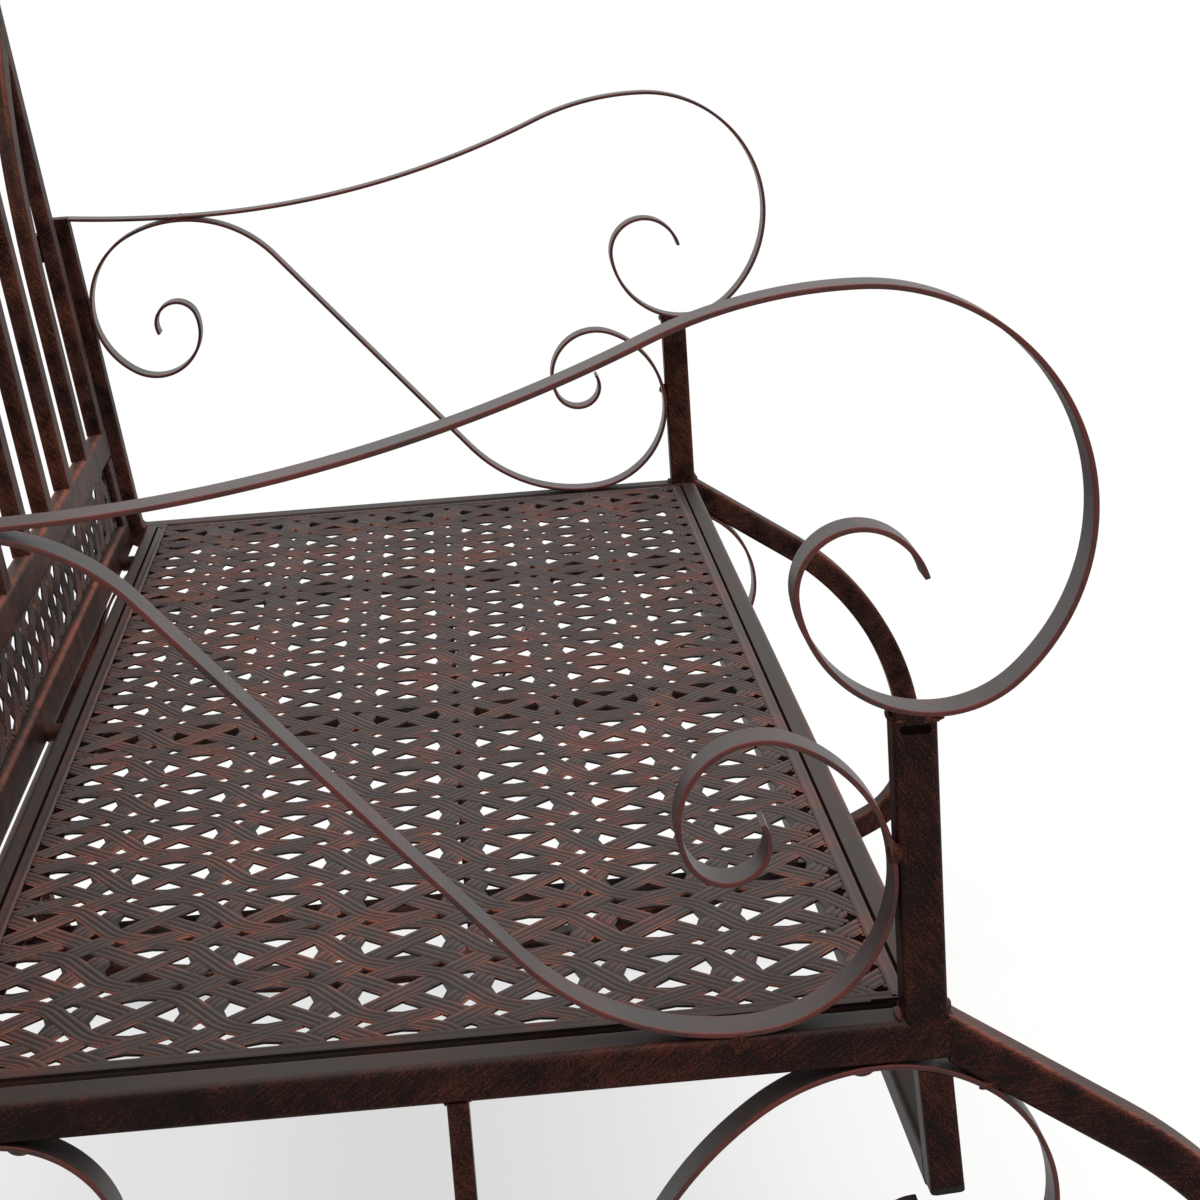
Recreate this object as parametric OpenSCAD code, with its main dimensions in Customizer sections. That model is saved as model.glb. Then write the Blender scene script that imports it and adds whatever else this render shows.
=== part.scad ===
// Outdoor rocking bench in bent steel tube and flat bar, with a strapwork seat and back band.
// Millimetres. X runs along the bench, the front faces -Y, Z is up and 0 is the floor at rest.
// Inside the side planes u is the distance behind the seat's front face and v the height over its top.

/* [Seat frame] */
// Length of the seat frame, end to end
bench_l = 1166; // [900:2:1400]
// Depth of the seat frame, front to back
seat_d = 472; // [430:2:520]
// Height of the top of the seat above the floor
seat_h = 440; // [410:2:470]
// Side of the square frame tube
tube = 20; // [18:0.5:22]
// Corner radius of the square frame tube
tube_r = 3; // [1:0.5:4]
// Width of the flat cross bars under the seat
bearer_w = 25; // [15:1:40]
// Thickness of the flat cross bars under the seat
bearer_t = 8; // [4:0.5:10]

/* [Seat panel] */
// Pitch of the strapwork, circle to circle
tile = 63.5; // [55:0.5:75]
// Thickness of the pressed sheet
sheet_t = 1.2; // [1:0.1:3]
// Gap between the panel and the front and back rails
panel_gap = 3; // [1:0.5:6]
// Gap between the panel and the side rails
panel_side_gap = 7; // [2:0.5:12]
// Width of the plain edge round the strapwork
panel_edge = 8; // [6:0.5:14]
// Half the width of a strap
strap_half = 6.6; // [5.6:0.1:8]
// Radius of the middle of a ring of strap
ring_r = 28; // [25:0.5:29]

/* [Strip] */
// Width of the flat bar of the arms and scrolls
strip_w = 20; // [16:0.5:22]
// Thickness of the flat bar of the arms and scrolls
strip_t = 2.5; // [2:0.25:4]
// Height of the lowest point of the arm's front curl above the seat
arm_low = 143.5; // [135:0.5:160]
// How far that lowest point lies in front of the seat's front face
arm_ahead = 2; // [0:0.5:8]
// Radius of the big front bend of the arm
arm_r = 100.5; // [95:0.5:112]

/* [Rocker] */
// How far the rocker's foremost centre line lies in front of the seat
rocker_reach = 179; // [165:1:190]
// Slope of the rocker where it leaves the front of the seat, in degrees
rocker_slope = 34.5; // [30:0.5:37]
// Outer radius of the runner
runner_r = 1100; // [1000:10:1300]
// Distance of the runner's lowest point behind the middle of the seat
runner_low = 94; // [70:1:115]
// Bend radius from the rocker's front into the runner
front_bend_r = 70; // [50:1:90]
// Bend radius from the runner into the rear leg
rear_bend_r = 100; // [80:1:120]
// Rake of the rear leg, in degrees
leg_rake = 19; // [15:0.5:22]

/* [Back] */
// Lean of the back, in degrees
back_lean = 7; // [4:0.5:10]
// Gap between the seat frame and the front of the back
back_gap = 11; // [10:0.5:16]
// Width of the flat tubes of the back
slat_w = 25; // [20:0.5:30]
// Depth of the flat tubes of the back
slat_t = 12.5; // [10:0.5:16]
// Distance from an end of the bench to the back's outer side
back_inset = 41; // [36:1:60]
// Height of the back at its ends, measured up the slope
back_end_h = 505; // [460:5:540]
// Rise of the top rail at its middle
top_rise = 72; // [40:2:100]
// Pitch of the slats
slat_pitch = 106; // [90:0.5:112]
// Clear height of the strapwork band
band_h = 55; // [40:1:70]
// Radius of the outward bend of the outer slats
slat_bend_r = 245; // [200:5:280]

/* [Hidden] */
$fn = 96;
eps = 0.01;
seat_gap = 0.1;
chord_error = 0.08;
left = -1;
right = 1;
big = 3000;

// Heights and places that follow from the sizes above
half_l = bench_l / 2;
plane_x = half_l - tube / 2;
inner_l = bench_l - 2 * tube;
low_u = seat_d / 2 + runner_low;
hub_v = runner_r - seat_h;
line_r = runner_r - tube / 2;
back_x = half_l - back_inset;
post_x = back_x - slat_w / 2;
back_u = seat_d + back_gap;

// The rocker's front end, tangent to the runner's circle
rocker_v = -10.4;
rocker_run = 8;
front_span = low_u + rocker_reach - front_bend_r;
front_rise = sqrt(pow(line_r - front_bend_r, 2) - pow(front_span, 2));
front_angle = atan2(front_span, front_rise);
rocker_drop = rocker_v - (hub_v - front_rise) - rocker_run;
slope_in = 1 - sin(rocker_slope);
rocker_straight = rocker_reach * cos(rocker_slope) / slope_in - rocker_drop;
rocker_bend_r = (cos(rocker_slope) * rocker_drop - sin(rocker_slope) * rocker_reach) / slope_in;
end_run = 2 * tube;

// The rear leg, tangent to the runner's circle through the rear bend
leg_set = 5.5;
leg_top = 10;
leg_u = back_u + slat_t / cos(back_lean) + leg_set;
leg_k = rear_bend_r + cos(leg_rake) * (low_u - leg_u) + sin(leg_rake) * hub_v;
rear_angle = leg_rake - asin(leg_k / (line_r - rear_bend_r));
rear_c = [low_u, hub_v] + (line_r - rear_bend_r) * [sin(rear_angle), -cos(rear_angle)];
leg_foot = rear_c + rear_bend_r * [cos(leg_rake), sin(leg_rake)];
leg_l = (leg_top - leg_foot[1]) / cos(leg_rake);
rocker_runs = [[0, end_run + rocker_straight], [rocker_bend_r, 90 - rocker_slope], [0, rocker_run],
               [front_bend_r, 90 - front_angle], [line_r, front_angle], [line_r, rear_angle],
               [rear_bend_r, 90 + leg_rake - rear_angle], [0, leg_l]];

// The bench is centred on Y from its foremost to its rearmost tube
u_min = -rocker_reach - tube / 2;
u_max = rear_c[0] + rear_bend_r + tube / 2;
front_y = -(u_min + u_max) / 2;

// The rear upright: its back is flush with the back's, its foot bends into the side rail
upright_d = slat_t - tube / 2;
foot_r = (back_gap * cos(back_lean) + upright_d - tube / 2 * sin(back_lean)) / (1 - sin(back_lean));
upright_start = [seat_d, -tube / 2];
function upright_runs(length) = [[foot_r, 90 - back_lean], [0, length]];

// Bends are lists of [radius, turn in degrees], and [0, length] is a straight run
arm_c = [[54, -41], [arm_r, -137], [220, -24.5], [755, 22]];
arm_r_back = 1044;
arm_turn_back = 24;
arm_curl = [[61.5, 83], [28, 131], [33, 75]];
arm_start = [-arm_ahead, arm_low];
arm_join = end_of(arm_c, arm_start, 180);
arm_join_h = 180 + heading_of(arm_c);
arm_hub = arm_join + arm_r_back * [-sin(arm_join_h), cos(arm_join_h)];
arm_end_v = arm_v(upright_u(arm_v(upright_u(arm_low + arm_r))));

// The side scroll hangs between the arm, the upright, the seat rail and the front post
scroll_top_r = 100;
scroll_top_turn = 25;
scroll_back_r = 65;
scroll_low_r = 126;
scroll_fore_r = 69;
scroll_rear = [[scroll_top_r, -scroll_top_turn], [scroll_back_r, -123], [37.5, -140], [17.5, -190]];
scroll_front = [[scroll_fore_r, -154], [37.6, -135], [20, -90], [17.3, -98]];
scroll_lead = 4.4;
scroll_step = (scroll_top_r - scroll_back_r) * [sin(scroll_top_turn), cos(scroll_top_turn)];
scroll_off = (scroll_back_r + strip_t / 2 + seat_gap) / cos(back_lean) + scroll_step[0];
function scroll_place(u) = upright_u(arm_v(u) - strip_t - scroll_top_r + scroll_step[1]) - scroll_off;
front_reach = scroll_low_r * sin(scroll_lead) + scroll_fore_r * (1 - sin(scroll_lead));
scroll_u = scroll_place(scroll_place(seat_d));
scroll_top = [scroll_u, arm_v(scroll_u) - strip_t];
scroll_low = [tube + strip_t / 2 + front_reach, strip_t / 2];
scroll_hubs = scroll_top - [0, scroll_top_r] - scroll_low - [0, scroll_low_r];
scroll_gap = norm(scroll_hubs);
scroll_turn = atan2(scroll_hubs[1], scroll_hubs[0]) + asin((scroll_top_r + scroll_low_r) / scroll_gap);
scroll_run = sqrt(pow(scroll_gap, 2) - pow(scroll_top_r + scroll_low_r, 2));

// The scrolls under the seat rail and what they run down to
under_v = -tube - strip_t / 2;
strut_w = 10;
strut_u = seat_d / 2 - 13;
curl_root_r = 84;
hug = (tube + strip_t) / 2 + seat_gap;
hug_u = (under_v - rocker_v + hug / cos(rocker_slope)) / tan(rocker_slope);
front_crown = [hug_u + curl_root_r * tan(rocker_slope / 2), under_v];
front_curl = [[curl_root_r, rocker_slope], [69, 90 - rocker_slope], [56, 90], [29.5, 90], [23, 90]];
tail_root_r = 102;
tail_root_turn = 35;
tail_fall_r = 184;
tail_fall = 60;
tail_foot_r = 60;
tail_reach = tail_root_r * sin(tail_root_turn) + tail_fall_r * (sin(tail_fall) - sin(tail_root_turn))
             + tail_foot_r * (1 - sin(tail_fall));
tail_run = (strut_u - strut_w / 2 - strip_t / 2 - front_crown[0] - tail_reach) / cos(tail_fall);
front_tail = [[tail_root_r, -tail_root_turn], [tail_fall_r, tail_root_turn - tail_fall],
              [0, tail_run], [tail_foot_r, tail_fall - 90]];
rear_crown = [seat_d - 39, under_v];
rear_curl = [[55, 90], [48, 90], [30, 90], [18, 90]];
leg_way = cos(leg_rake) * (rear_crown[0] - leg_u) + sin(leg_rake) * under_v + hug;
rear_tail = [[-leg_way / (1 - sin(leg_rake)), leg_rake - 90], [0, 60]];

// The stub under the front corner, which carries the front stretcher
stub_top = [7, -tube - strip_t];
stub_lean = 3.5;
stub_l = 61;
stub_d = 16;
cap_h = 3;

// Where the stock of the seat's strapwork lies off the panel's middle, and the band's plain edge
weave_x = 9.3;
weave_y = 10.5;
band_edge = 2.5;

// Rivets and bolts
rivet_d = 6;
rivet_head_d = 15;
rivet_head_h = 5;
front_rivet_turn = 5;
rear_rivet_turn = -14;
bolt_d = 6;
bolt_head_d = 13;
bolt_head_h = 6;
spacer_d = 12;
spacer_v = -7;
spacer_x = post_x - 70;
tab_t = 5;
tab_h = 22;
tab_s = 250;

// The band of the back, measured up the slope from the seat's top
band_low = -13;
band_s = band_low + slat_w;
band_top = band_s + band_h;
slat_s = band_top + slat_w;
slats = 9;
slat_bend_s = 226;
top_r = (pow(back_x, 2) + pow(top_rise, 2)) / (2 * top_rise);

rear_stretch_v = -190;
front_stretch_v = -82;

SLATS = [for (i = [1 : slats]) str("slat_", i)];
SIDES = [for (part = ["arm", "side_scroll", "front_post", "rear_upright", "side_rail", "rocker",
                      "front_under_scroll", "rear_under_scroll", "strut", "stub", "stub_cap",
                      "back_post", "back_tab", "band_end"])
         for (side = ["left", "right"]) str(part, "_", side)];

function turned(p, a) = [p[0] * cos(a) - p[1] * sin(a), p[0] * sin(a) + p[1] * cos(a)];
function step(run) =
    run[0] == 0 ? [run[1], 0]
                : [run[0] * sin(abs(run[1])), sign(run[1]) * run[0] * (1 - cos(run[1]))];
function turn(run) = run[0] == 0 ? 0 : run[1];
function heading_of(runs, i = 0) = i == len(runs) ? 0 : turn(runs[i]) + heading_of(runs, i + 1);
function end_of(runs, p, h, i = 0) =
    i == len(runs) ? p : end_of(runs, p + turned(step(runs[i]), h), h + turn(runs[i]), i + 1);

// A path is a list of [place, heading], close enough together to keep to the arcs
function chords(run) = run[0] == 0 ? 1 : ceil(abs(run[1]) / min(8, 2 * acos(1 - chord_error / run[0])));
function part_way(run, t) = [run[0], run[1] * t];
function path(runs, p, h, i = 0) =
    i == len(runs) ? [[p, h]]
                   : let (n = chords(runs[i]))
                     concat([for (k = [0 : n - 1]) let (some = part_way(runs[i], k / n))
                             [p + turned(step(some), h), h + turn(some)]],
                            path(runs, p + turned(step(runs[i]), h), h + turn(runs[i]), i + 1));
function beside(path, d) = [for (s = path) s[0] + d * [-sin(s[1]), cos(s[1])]];
function reversed(list) = [for (i = [len(list) - 1 : -1 : 0]) list[i]];
function two_ways(back_runs, runs, p, h) =
    concat([for (s = reversed(path(back_runs, p, h + 180))) [s[0], s[1] + 180]],
           tail_of(path(runs, p, h)));
function tail_of(list) = [for (i = [1 : len(list) - 1]) list[i]];

// Front face of the rear upright at a height, and the arm's middle line over a place
function upright_u(v) = back_u + v * tan(back_lean) + (upright_d - tube / 2) / cos(back_lean);
function arm_v(u) = arm_hub[1] - sqrt(pow(arm_r_back, 2) - pow(u - arm_hub[0], 2));

module frame_at(x) {
    translate([x, front_y, seat_h]) rotate([90, 0, 90]) children();
}

module back_at() {
    translate([0, front_y + back_u, seat_h]) rotate([-back_lean, 0, 0]) children();
}

module steel() {
    color("#3b2723") children();
}

// Sweeps a profile along a straight run and then an arc, from the origin along X
module straight_and_arc(length, r, a) {
    rotate([90, 0, 90]) linear_extrude(length) children();
    translate([length, r, 0]) rotate([0, 0, -90]) rotate_extrude(angle = a) translate([r, 0]) children();
}

// A flat bar bent along a path, its width across the side plane
module strip(path) {
    translate([0, 0, -strip_w / 2]) linear_extrude(strip_w)
        polygon(concat(beside(path, strip_t / 2), reversed(beside(path, -strip_t / 2))));
}

// A square tube bent along a path, with its corners taken off
module bent_tube(path) {
    half = tube / 2;
    flat = half - tube_r * 0.6;
    ring = [[flat, -half], [half, -flat], [half, flat], [flat, half],
            [-flat, half], [-half, flat], [-half, -flat], [-flat, -half]];
    n = len(ring);
    last = (len(path) - 1) * n;
    polyhedron(
        [for (s = path, q = ring) [each s[0] + q[0] * [-sin(s[1]), cos(s[1])], q[1]]],
        concat([[for (k = [0 : n - 1]) k]],
               [[for (k = [n - 1 : -1 : 0]) last + k]],
               [for (i = [0 : len(path) - 2], k = [0 : n - 1], half_face = [0, 1])
                let (a = i * n + k, b = i * n + (k + 1) % n)
                half_face == 0 ? [a, a + n, b] : [b, a + n, b + n]]));
}

module tube_profile(w = tube, d = tube) {
    hull_w = w - 2 * tube_r;
    hull_d = d - 2 * tube_r;
    square([hull_w, d], center = true);
    square([w, hull_d], center = true);
    for (x = [-1, 1], y = [-1, 1]) translate([x * hull_w / 2, y * hull_d / 2]) circle(tube_r);
}

// The space that the rear upright's foot takes, right across the side plane
module upright_space() {
    line = path(upright_runs(3 * tube), upright_start, 0);
    translate([0, 0, -tube]) linear_extrude(2 * tube)
        polygon(concat(beside(line, tube / 2), reversed(beside(line, -tube / 2))));
}

module rocker(side) {
    steel() frame_at(side * plane_x) difference() {
        bent_tube(path(rocker_runs, [0, rocker_v] + end_run * [cos(rocker_slope), sin(rocker_slope)],
                       180 + rocker_slope));
        translate([0, -2 * tube, -tube]) cube([seat_d / 2, 4 * tube, 2 * tube]);
        upright_space();
    }
}

module side_rail(side) {
    steel() frame_at(side * plane_x)
        translate([0, -tube / 2]) rotate([90, 0, 90]) linear_extrude(seat_d) tube_profile();
}

module cross_rail(u) {
    steel() translate([-inner_l / 2, front_y + u, seat_h - tube / 2])
        rotate([90, 0, 90]) linear_extrude(inner_l) tube_profile();
}

module front_rail() {
    cross_rail(tube / 2);
}

module back_rail() {
    cross_rail(seat_d - tube / 2);
}

module front_post(side) {
    steel() frame_at(side * plane_x) difference() {
        translate([tube / 2, 0]) rotate([-90, 0, 0]) linear_extrude(arm_low + tube) tube_profile();
        translate([arm_start[0], arm_start[1] + arm_curl[0][0], -tube])
            cylinder(r = arm_curl[0][0] + strip_t / 2, h = 2 * tube);
    }
}

module rear_upright(side) {
    length = (arm_end_v + strip_t / 2) / cos(back_lean);
    steel() frame_at(side * plane_x) difference() {
        bent_tube(path(upright_runs(length + tube), upright_start, 0));
        translate([seat_d, arm_end_v + strip_t / 2, -tube]) cube([4 * tube, 4 * tube, 2 * tube]);
    }
}

module arm(side) {
    steel() frame_at(side * plane_x) difference() {
        strip(two_ways(concat(arm_c, [[arm_r_back, arm_turn_back]]), arm_curl, arm_start, 0));
        translate([upright_u(0), 0]) rotate([0, 0, -back_lean])
            translate([0, 0, -tube]) cube([seat_d, 2 * seat_d, 2 * tube]);
    }
}

module side_scroll(side) {
    middle = [[scroll_top_r, scroll_turn], [0, scroll_run], [scroll_low_r, -scroll_turn - scroll_lead]];
    steel() frame_at(side * plane_x)
        strip(two_ways(scroll_rear, concat(middle, scroll_front), scroll_top, 180));
}

// A rivet lies square to the strip, a given way round the bend from its crown
module rivet_at(crown, r, a) {
    translate([crown[0] + r * sin(a), crown[1] - r * (1 - cos(a)), 0]) rotate([0, 0, -a]) children();
}

module front_under_scroll(side) {
    steel() frame_at(side * plane_x) difference() {
        strip(two_ways(front_curl, front_tail, front_crown, 0));
        front_rivet_place() rotate([90, 0, 0]) cylinder(d = rivet_d, h = 4 * strip_t, center = true);
    }
}

module rear_under_scroll(side) {
    steel() frame_at(side * plane_x) difference() {
        strip(two_ways(rear_curl, rear_tail, rear_crown, 0));
        rear_rivet_place() rotate([90, 0, 0]) cylinder(d = rivet_d, h = 4 * strip_t, center = true);
    }
}

module front_rivet_place() {
    rivet_at(front_crown, tail_root_r, front_rivet_turn) children();
}

module rear_rivet_place() {
    rivet_at(rear_crown, rear_curl[0][0], rear_rivet_turn) children();
}

module dome(d, h) {
    r = (d * d / 4 + h * h) / (2 * h);
    intersection() {
        translate([0, 0, h - r]) sphere(r);
        cylinder(d = d, h = h);
    }
}

// The rivet's head stands off the bent strip so far that only its edge touches
module rivet(r) {
    seat = strip_t / 2 + pow(rivet_head_d / 2, 2) / (2 * (r - strip_t));
    rotate([90, 0, 0]) translate([0, 0, seat]) dome(rivet_head_d, rivet_head_h);
    rotate([-90, 0, 0]) translate([0, 0, -seat - eps]) cylinder(d = rivet_d, h = seat + 3 * strip_t);
}

module scroll_rivets() {
    steel() for (side = [left, right]) frame_at(side * plane_x) difference() {
        union() {
            front_rivet_place() rivet(tail_root_r);
            rear_rivet_place() rivet(rear_curl[0][0]);
        }
        translate([0, -tube, -tube]) cube([seat_d, 2 * tube, 2 * tube]);
    }
}

module strut(side) {
    steel() frame_at(side * plane_x) difference() {
        translate([strut_u - strut_w / 2, -seat_h, -strip_w / 2]) cube([strut_w, seat_h - tube, strip_w]);
        translate([low_u, hub_v, -tube]) difference() {
            cylinder(r = big, h = 2 * tube);
            cylinder(r = line_r - tube / 2, h = 2 * tube);
        }
    }
}

module stub_at() {
    translate([stub_top[0], stub_top[1], 0]) rotate([0, 0, -stub_lean]) children();
}

module stub(side) {
    steel() frame_at(side * plane_x) intersection() {
        stub_at() rotate([90, 0, 0]) translate([0, 0, -tube]) linear_extrude(stub_l + tube)
            tube_profile(stub_d, tube);
        translate([front_crown[0], front_crown[1] - curl_root_r, -tube])
            difference() {
                translate([-3 * tube, -3 * tube]) cube([6 * tube, 8 * tube, 2 * tube]);
                translate([0, 0, -eps]) ring_above();
            }
    }
}

// The space taken by the front curl of the under scroll and everything above it
module ring_above() {
    inside = curl_root_r - strip_t / 2 - seat_gap;
    difference() {
        translate([-4 * tube, 0]) cube([8 * tube, 10 * tube, 2 * tube + 2 * eps]);
        translate([0, 0, -eps]) cylinder(r = inside, h = 2 * tube + 4 * eps);
    }
}

module stub_cap(side) {
    steel() frame_at(side * plane_x) stub_at() rotate([90, 0, 0]) translate([0, 0, stub_l])
        linear_extrude(cap_h) tube_profile(stub_d, tube);
}

module front_stretcher() {
    steel() translate([-inner_l / 2, 0, 0]) translate([0, front_y, seat_h]) rotate([90, 0, 90])
        stub_at() translate([0, front_stretch_v - stub_top[1], 0]) linear_extrude(inner_l)
            tube_profile(stub_d, tube);
}

module rear_stretcher() {
    u = leg_u - rear_stretch_v * tan(leg_rake);
    steel() translate([-inner_l / 2, front_y + u, seat_h + rear_stretch_v])
        rotate([90, 0, 90]) rotate([0, 0, leg_rake]) linear_extrude(inner_l) tube_profile();
}

module seat_bearer(i) {
    steel() translate([(i - 2) * inner_l / 3.2 - bearer_w / 2, front_y + tube, seat_h - tube])
        cube([bearer_w, seat_d - 2 * tube, bearer_t]);
}

// One opening between a ring of strap and the two straps that cross in its middle
hole_r = ring_r - strap_half;
hole_half = 45 - asin(strap_half / hole_r);
ring_hole = [[strap_half * sqrt(2), 0], around(hole_r, -hole_half), [hole_r, 0], around(hole_r, hole_half)];

// One small kite between two neighbouring rings, widest towards the corner of the cell
kite_w = 0.14 * tile;
kite_from = 0.18 * tile;
kite_wide = 0.29 * tile;
kite_to = 0.345 * tile;
kite = [[tile / 2, kite_from], [tile / 2 + kite_w / 2, kite_wide],
        [tile / 2, kite_to], [tile / 2 - kite_w / 2, kite_wide]];

// The openings of one square cell: four round a ring, two kites at its right and two at its foot
cell = concat([for (a = [0 : 90 : 270]) [for (p = ring_hole) turned(p, a)]],
              [for (a = [0, -90], way = [-1, 1]) [for (p = kite) turned([p[0], way * p[1]], a)]]);

function around(r, a) = r * [cos(a), sin(a)];
function within(pts, w, h) = max([for (p = pts) max(abs(p[0]) - w, abs(p[1]) - h)]) < 0;
function outside(pts, w, h) =
    min([for (p = pts) abs(p[0]) - w]) > 0 || min([for (p = pts) abs(p[1]) - h]) > 0;

// A sheet of strapwork, pierced one row of rings at a time, with a ring centred on [dx, dy]
module strapwork(l, d, edge, dx = 0, dy = 0) {
    w = l / 2 - edge;
    h = d / 2 - edge;
    nx = ceil(l / tile / 2);
    ny = ceil(d / tile / 2);
    clear_line = 0.41;
    for (j = [-ny : ny]) {
        low = max(-d / 2, (j - 1 + clear_line) * tile + dy);
        high = min(d / 2, (j + clear_line) * tile + dy);
        holes = [for (i = [-nx - 1 : nx], shape = cell)
                 [for (p = shape) p + [i * tile + dx, j * tile + dy]]];
        if (high > low) difference() {
            translate([-l / 2, low]) square([l, high - low]);
            for (pts = holes) if (within(pts, w, h)) polygon(pts);
            intersection() {
                square([2 * w, 2 * h], center = true);
                union() for (pts = holes) if (!within(pts, w, h) && !outside(pts, w, h)) polygon(pts);
            }
        }
    }
}

module seat_panel() {
    l = inner_l - 2 * panel_side_gap;
    d = seat_d - 2 * tube - 2 * panel_gap;
    drop = tube - bearer_t;
    steel() translate([0, front_y + seat_d / 2, seat_h]) {
        translate([0, 0, -sheet_t]) linear_extrude(sheet_t) strapwork(l, d, panel_edge, weave_x, weave_y);
        translate([0, 0, -drop]) linear_extrude(drop - sheet_t) difference() {
            square([l, d], center = true);
            square([l - 2 * sheet_t, d - 2 * sheet_t], center = true);
        }
    }
}

module back_bar(x, s, w, h) {
    back_at() translate([x - w / 2, slat_t / 2, s]) rotate([90, 0, 90])
        linear_extrude(w) translate([0, h / 2]) tube_profile(slat_t, h);
}

module band_top_rail() {
    steel() back_bar(0, band_top, 2 * back_x, slat_w);
}

module band_low_rail() {
    steel() difference() {
        back_bar(0, band_low, 2 * back_x, slat_w);
        bolt_places() translate([0, 0, -bolt_d]) cylinder(d = bolt_d, h = 8 * bolt_d);
    }
}

module band_end(side) {
    steel() back_at() translate([side * post_x, slat_t / 2, band_s]) linear_extrude(band_h)
        tube_profile(slat_w, slat_t);
}

module band_panel() {
    l = 2 * back_x - 2 * slat_w;
    steel() back_at() translate([0, slat_t / 2 + sheet_t / 2, band_s + band_h / 2]) rotate([90, 0, 0])
        linear_extrude(sheet_t) strapwork(l, band_h, band_edge);
}

// Everything under the top rail, so that posts and slats end on it
module under_top() {
    translate([0, 2 * slat_t, back_end_h + top_rise - slat_w - top_r]) rotate([90, 0, 0])
        cylinder(r = top_r - slat_w, h = 4 * slat_t, $fn = 720);
}

module back_post(side) {
    steel() back_at() intersection() {
        translate([side * post_x, slat_t / 2, slat_s])
            linear_extrude(back_end_h + top_rise - slat_s) tube_profile(slat_w, slat_t);
        translate([0, 0, slat_w]) under_top();
    }
}

module slat(i) {
    x = (i - (slats + 1) / 2) * slat_pitch;
    steel() back_at() if (i == 1 || i == slats) outer_slat(sign(x), abs(x));
    else intersection() {
        translate([x, slat_t / 2, slat_s]) linear_extrude(back_end_h + top_rise - slat_s)
            tube_profile(slat_w, slat_t);
        translate([0, 0, slat_w]) under_top();
    }
}

// An outer slat runs straight up and then bends out to the post
module outer_slat(side, x) {
    gap = post_x - slat_w / 2 - x;
    a = acos(1 - gap / slat_bend_r) + 10;
    difference() {
        on_side(side) translate([x, slat_t / 2, slat_s]) rotate([90, 0, 0]) rotate([0, 0, 90])
            mirror([0, 1, 0]) straight_and_arc(slat_bend_s - slat_s, slat_bend_r, a)
            tube_profile(slat_w, slat_t);
        on_side(side) translate([post_x - slat_w / 2, -slat_t, slat_s])
            cube([4 * slat_w, 4 * slat_t, back_end_h]);
    }
}

module on_side(side) {
    mirror([side < 0 ? 1 : 0, 0, 0]) children();
}

module top_rail() {
    steel() back_at() intersection() {
        translate([0, slat_t, back_end_h + top_rise - top_r]) rotate([90, 0, 0]) linear_extrude(slat_t)
            difference() {
                circle(top_r, $fn = 720);
                circle(top_r - slat_w, $fn = 720);
            }
        translate([-back_x, -slat_t, back_end_h - 2 * slat_w])
            cube([2 * back_x, 4 * slat_t, top_rise + 4 * slat_w]);
    }
}

module back_tab(side) {
    steel() back_at() difference() {
        translate([side * (back_x - slat_w + half_l) / 2, slat_t + tab_t / 2, tab_s])
            cube([half_l - back_x + slat_w, tab_t, tab_h], center = true);
        translate([side * post_x, 0, tab_s]) rotate([-90, 0, 0]) cylinder(d = bolt_d, h = 4 * slat_t);
    }
}

module tab_bolts() {
    steel() back_at() for (side = [left, right])
        translate([side * post_x, slat_t, tab_s]) rotate([-90, 0, 0]) {
            cylinder(d = bolt_d, h = tab_t + eps);
            translate([0, 0, tab_t]) dome(bolt_head_d, bolt_head_h);
        }
}

// The three places where the back is bolted to the seat, along the bolts' own line
module bolt_places() {
    for (x = [-spacer_x, 0, spacer_x])
        translate([x, front_y + seat_d, seat_h + spacer_v]) rotate([-90, 0, 0]) children();
}

module back_spacers() {
    steel() difference() {
        bolt_places() cylinder(d = spacer_d, h = 2 * back_gap);
        bolt_places() translate([0, 0, -eps]) cylinder(d = bolt_d, h = 4 * back_gap);
        back_at() translate([-half_l, 0, -4 * slat_w]) cube([bench_l, 4 * slat_w, 8 * slat_w]);
    }
}

module spacer_bolts() {
    reach = back_gap + slat_t + 2;
    steel() bolt_places() {
        cylinder(d = bolt_d, h = reach);
        translate([0, 0, reach - eps]) dome(bolt_head_d, bolt_head_h);
    }
}

arm(left);  // arm_left
arm(right);  // arm_right
side_scroll(left);  // side_scroll_left
side_scroll(right);  // side_scroll_right
front_post(left);  // front_post_left
front_post(right);  // front_post_right
rear_upright(left);  // rear_upright_left
rear_upright(right);  // rear_upright_right
side_rail(left);  // side_rail_left
side_rail(right);  // side_rail_right
rocker(left);  // rocker_left
rocker(right);  // rocker_right
front_under_scroll(left);  // front_under_scroll_left
front_under_scroll(right);  // front_under_scroll_right
rear_under_scroll(left);  // rear_under_scroll_left
rear_under_scroll(right);  // rear_under_scroll_right
strut(left);  // strut_left
strut(right);  // strut_right
stub(left);  // stub_left
stub(right);  // stub_right
stub_cap(left);  // stub_cap_left
stub_cap(right);  // stub_cap_right
back_post(left);  // back_post_left
back_post(right);  // back_post_right
back_tab(left);  // back_tab_left
back_tab(right);  // back_tab_right
band_end(left);  // band_end_left
band_end(right);  // band_end_right
for (i = [1 : slats]) slat(i);
for (i = [1 : 3]) seat_bearer(i);
front_rail();
back_rail();
front_stretcher();
rear_stretcher();
seat_panel();
band_panel();
band_top_rail();
band_low_rail();
top_rail();
back_spacers();
spacer_bolts();
tab_bolts();
scroll_rivets();
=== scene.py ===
import bpy
import numpy as np
from mathutils import Matrix, Vector


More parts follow.
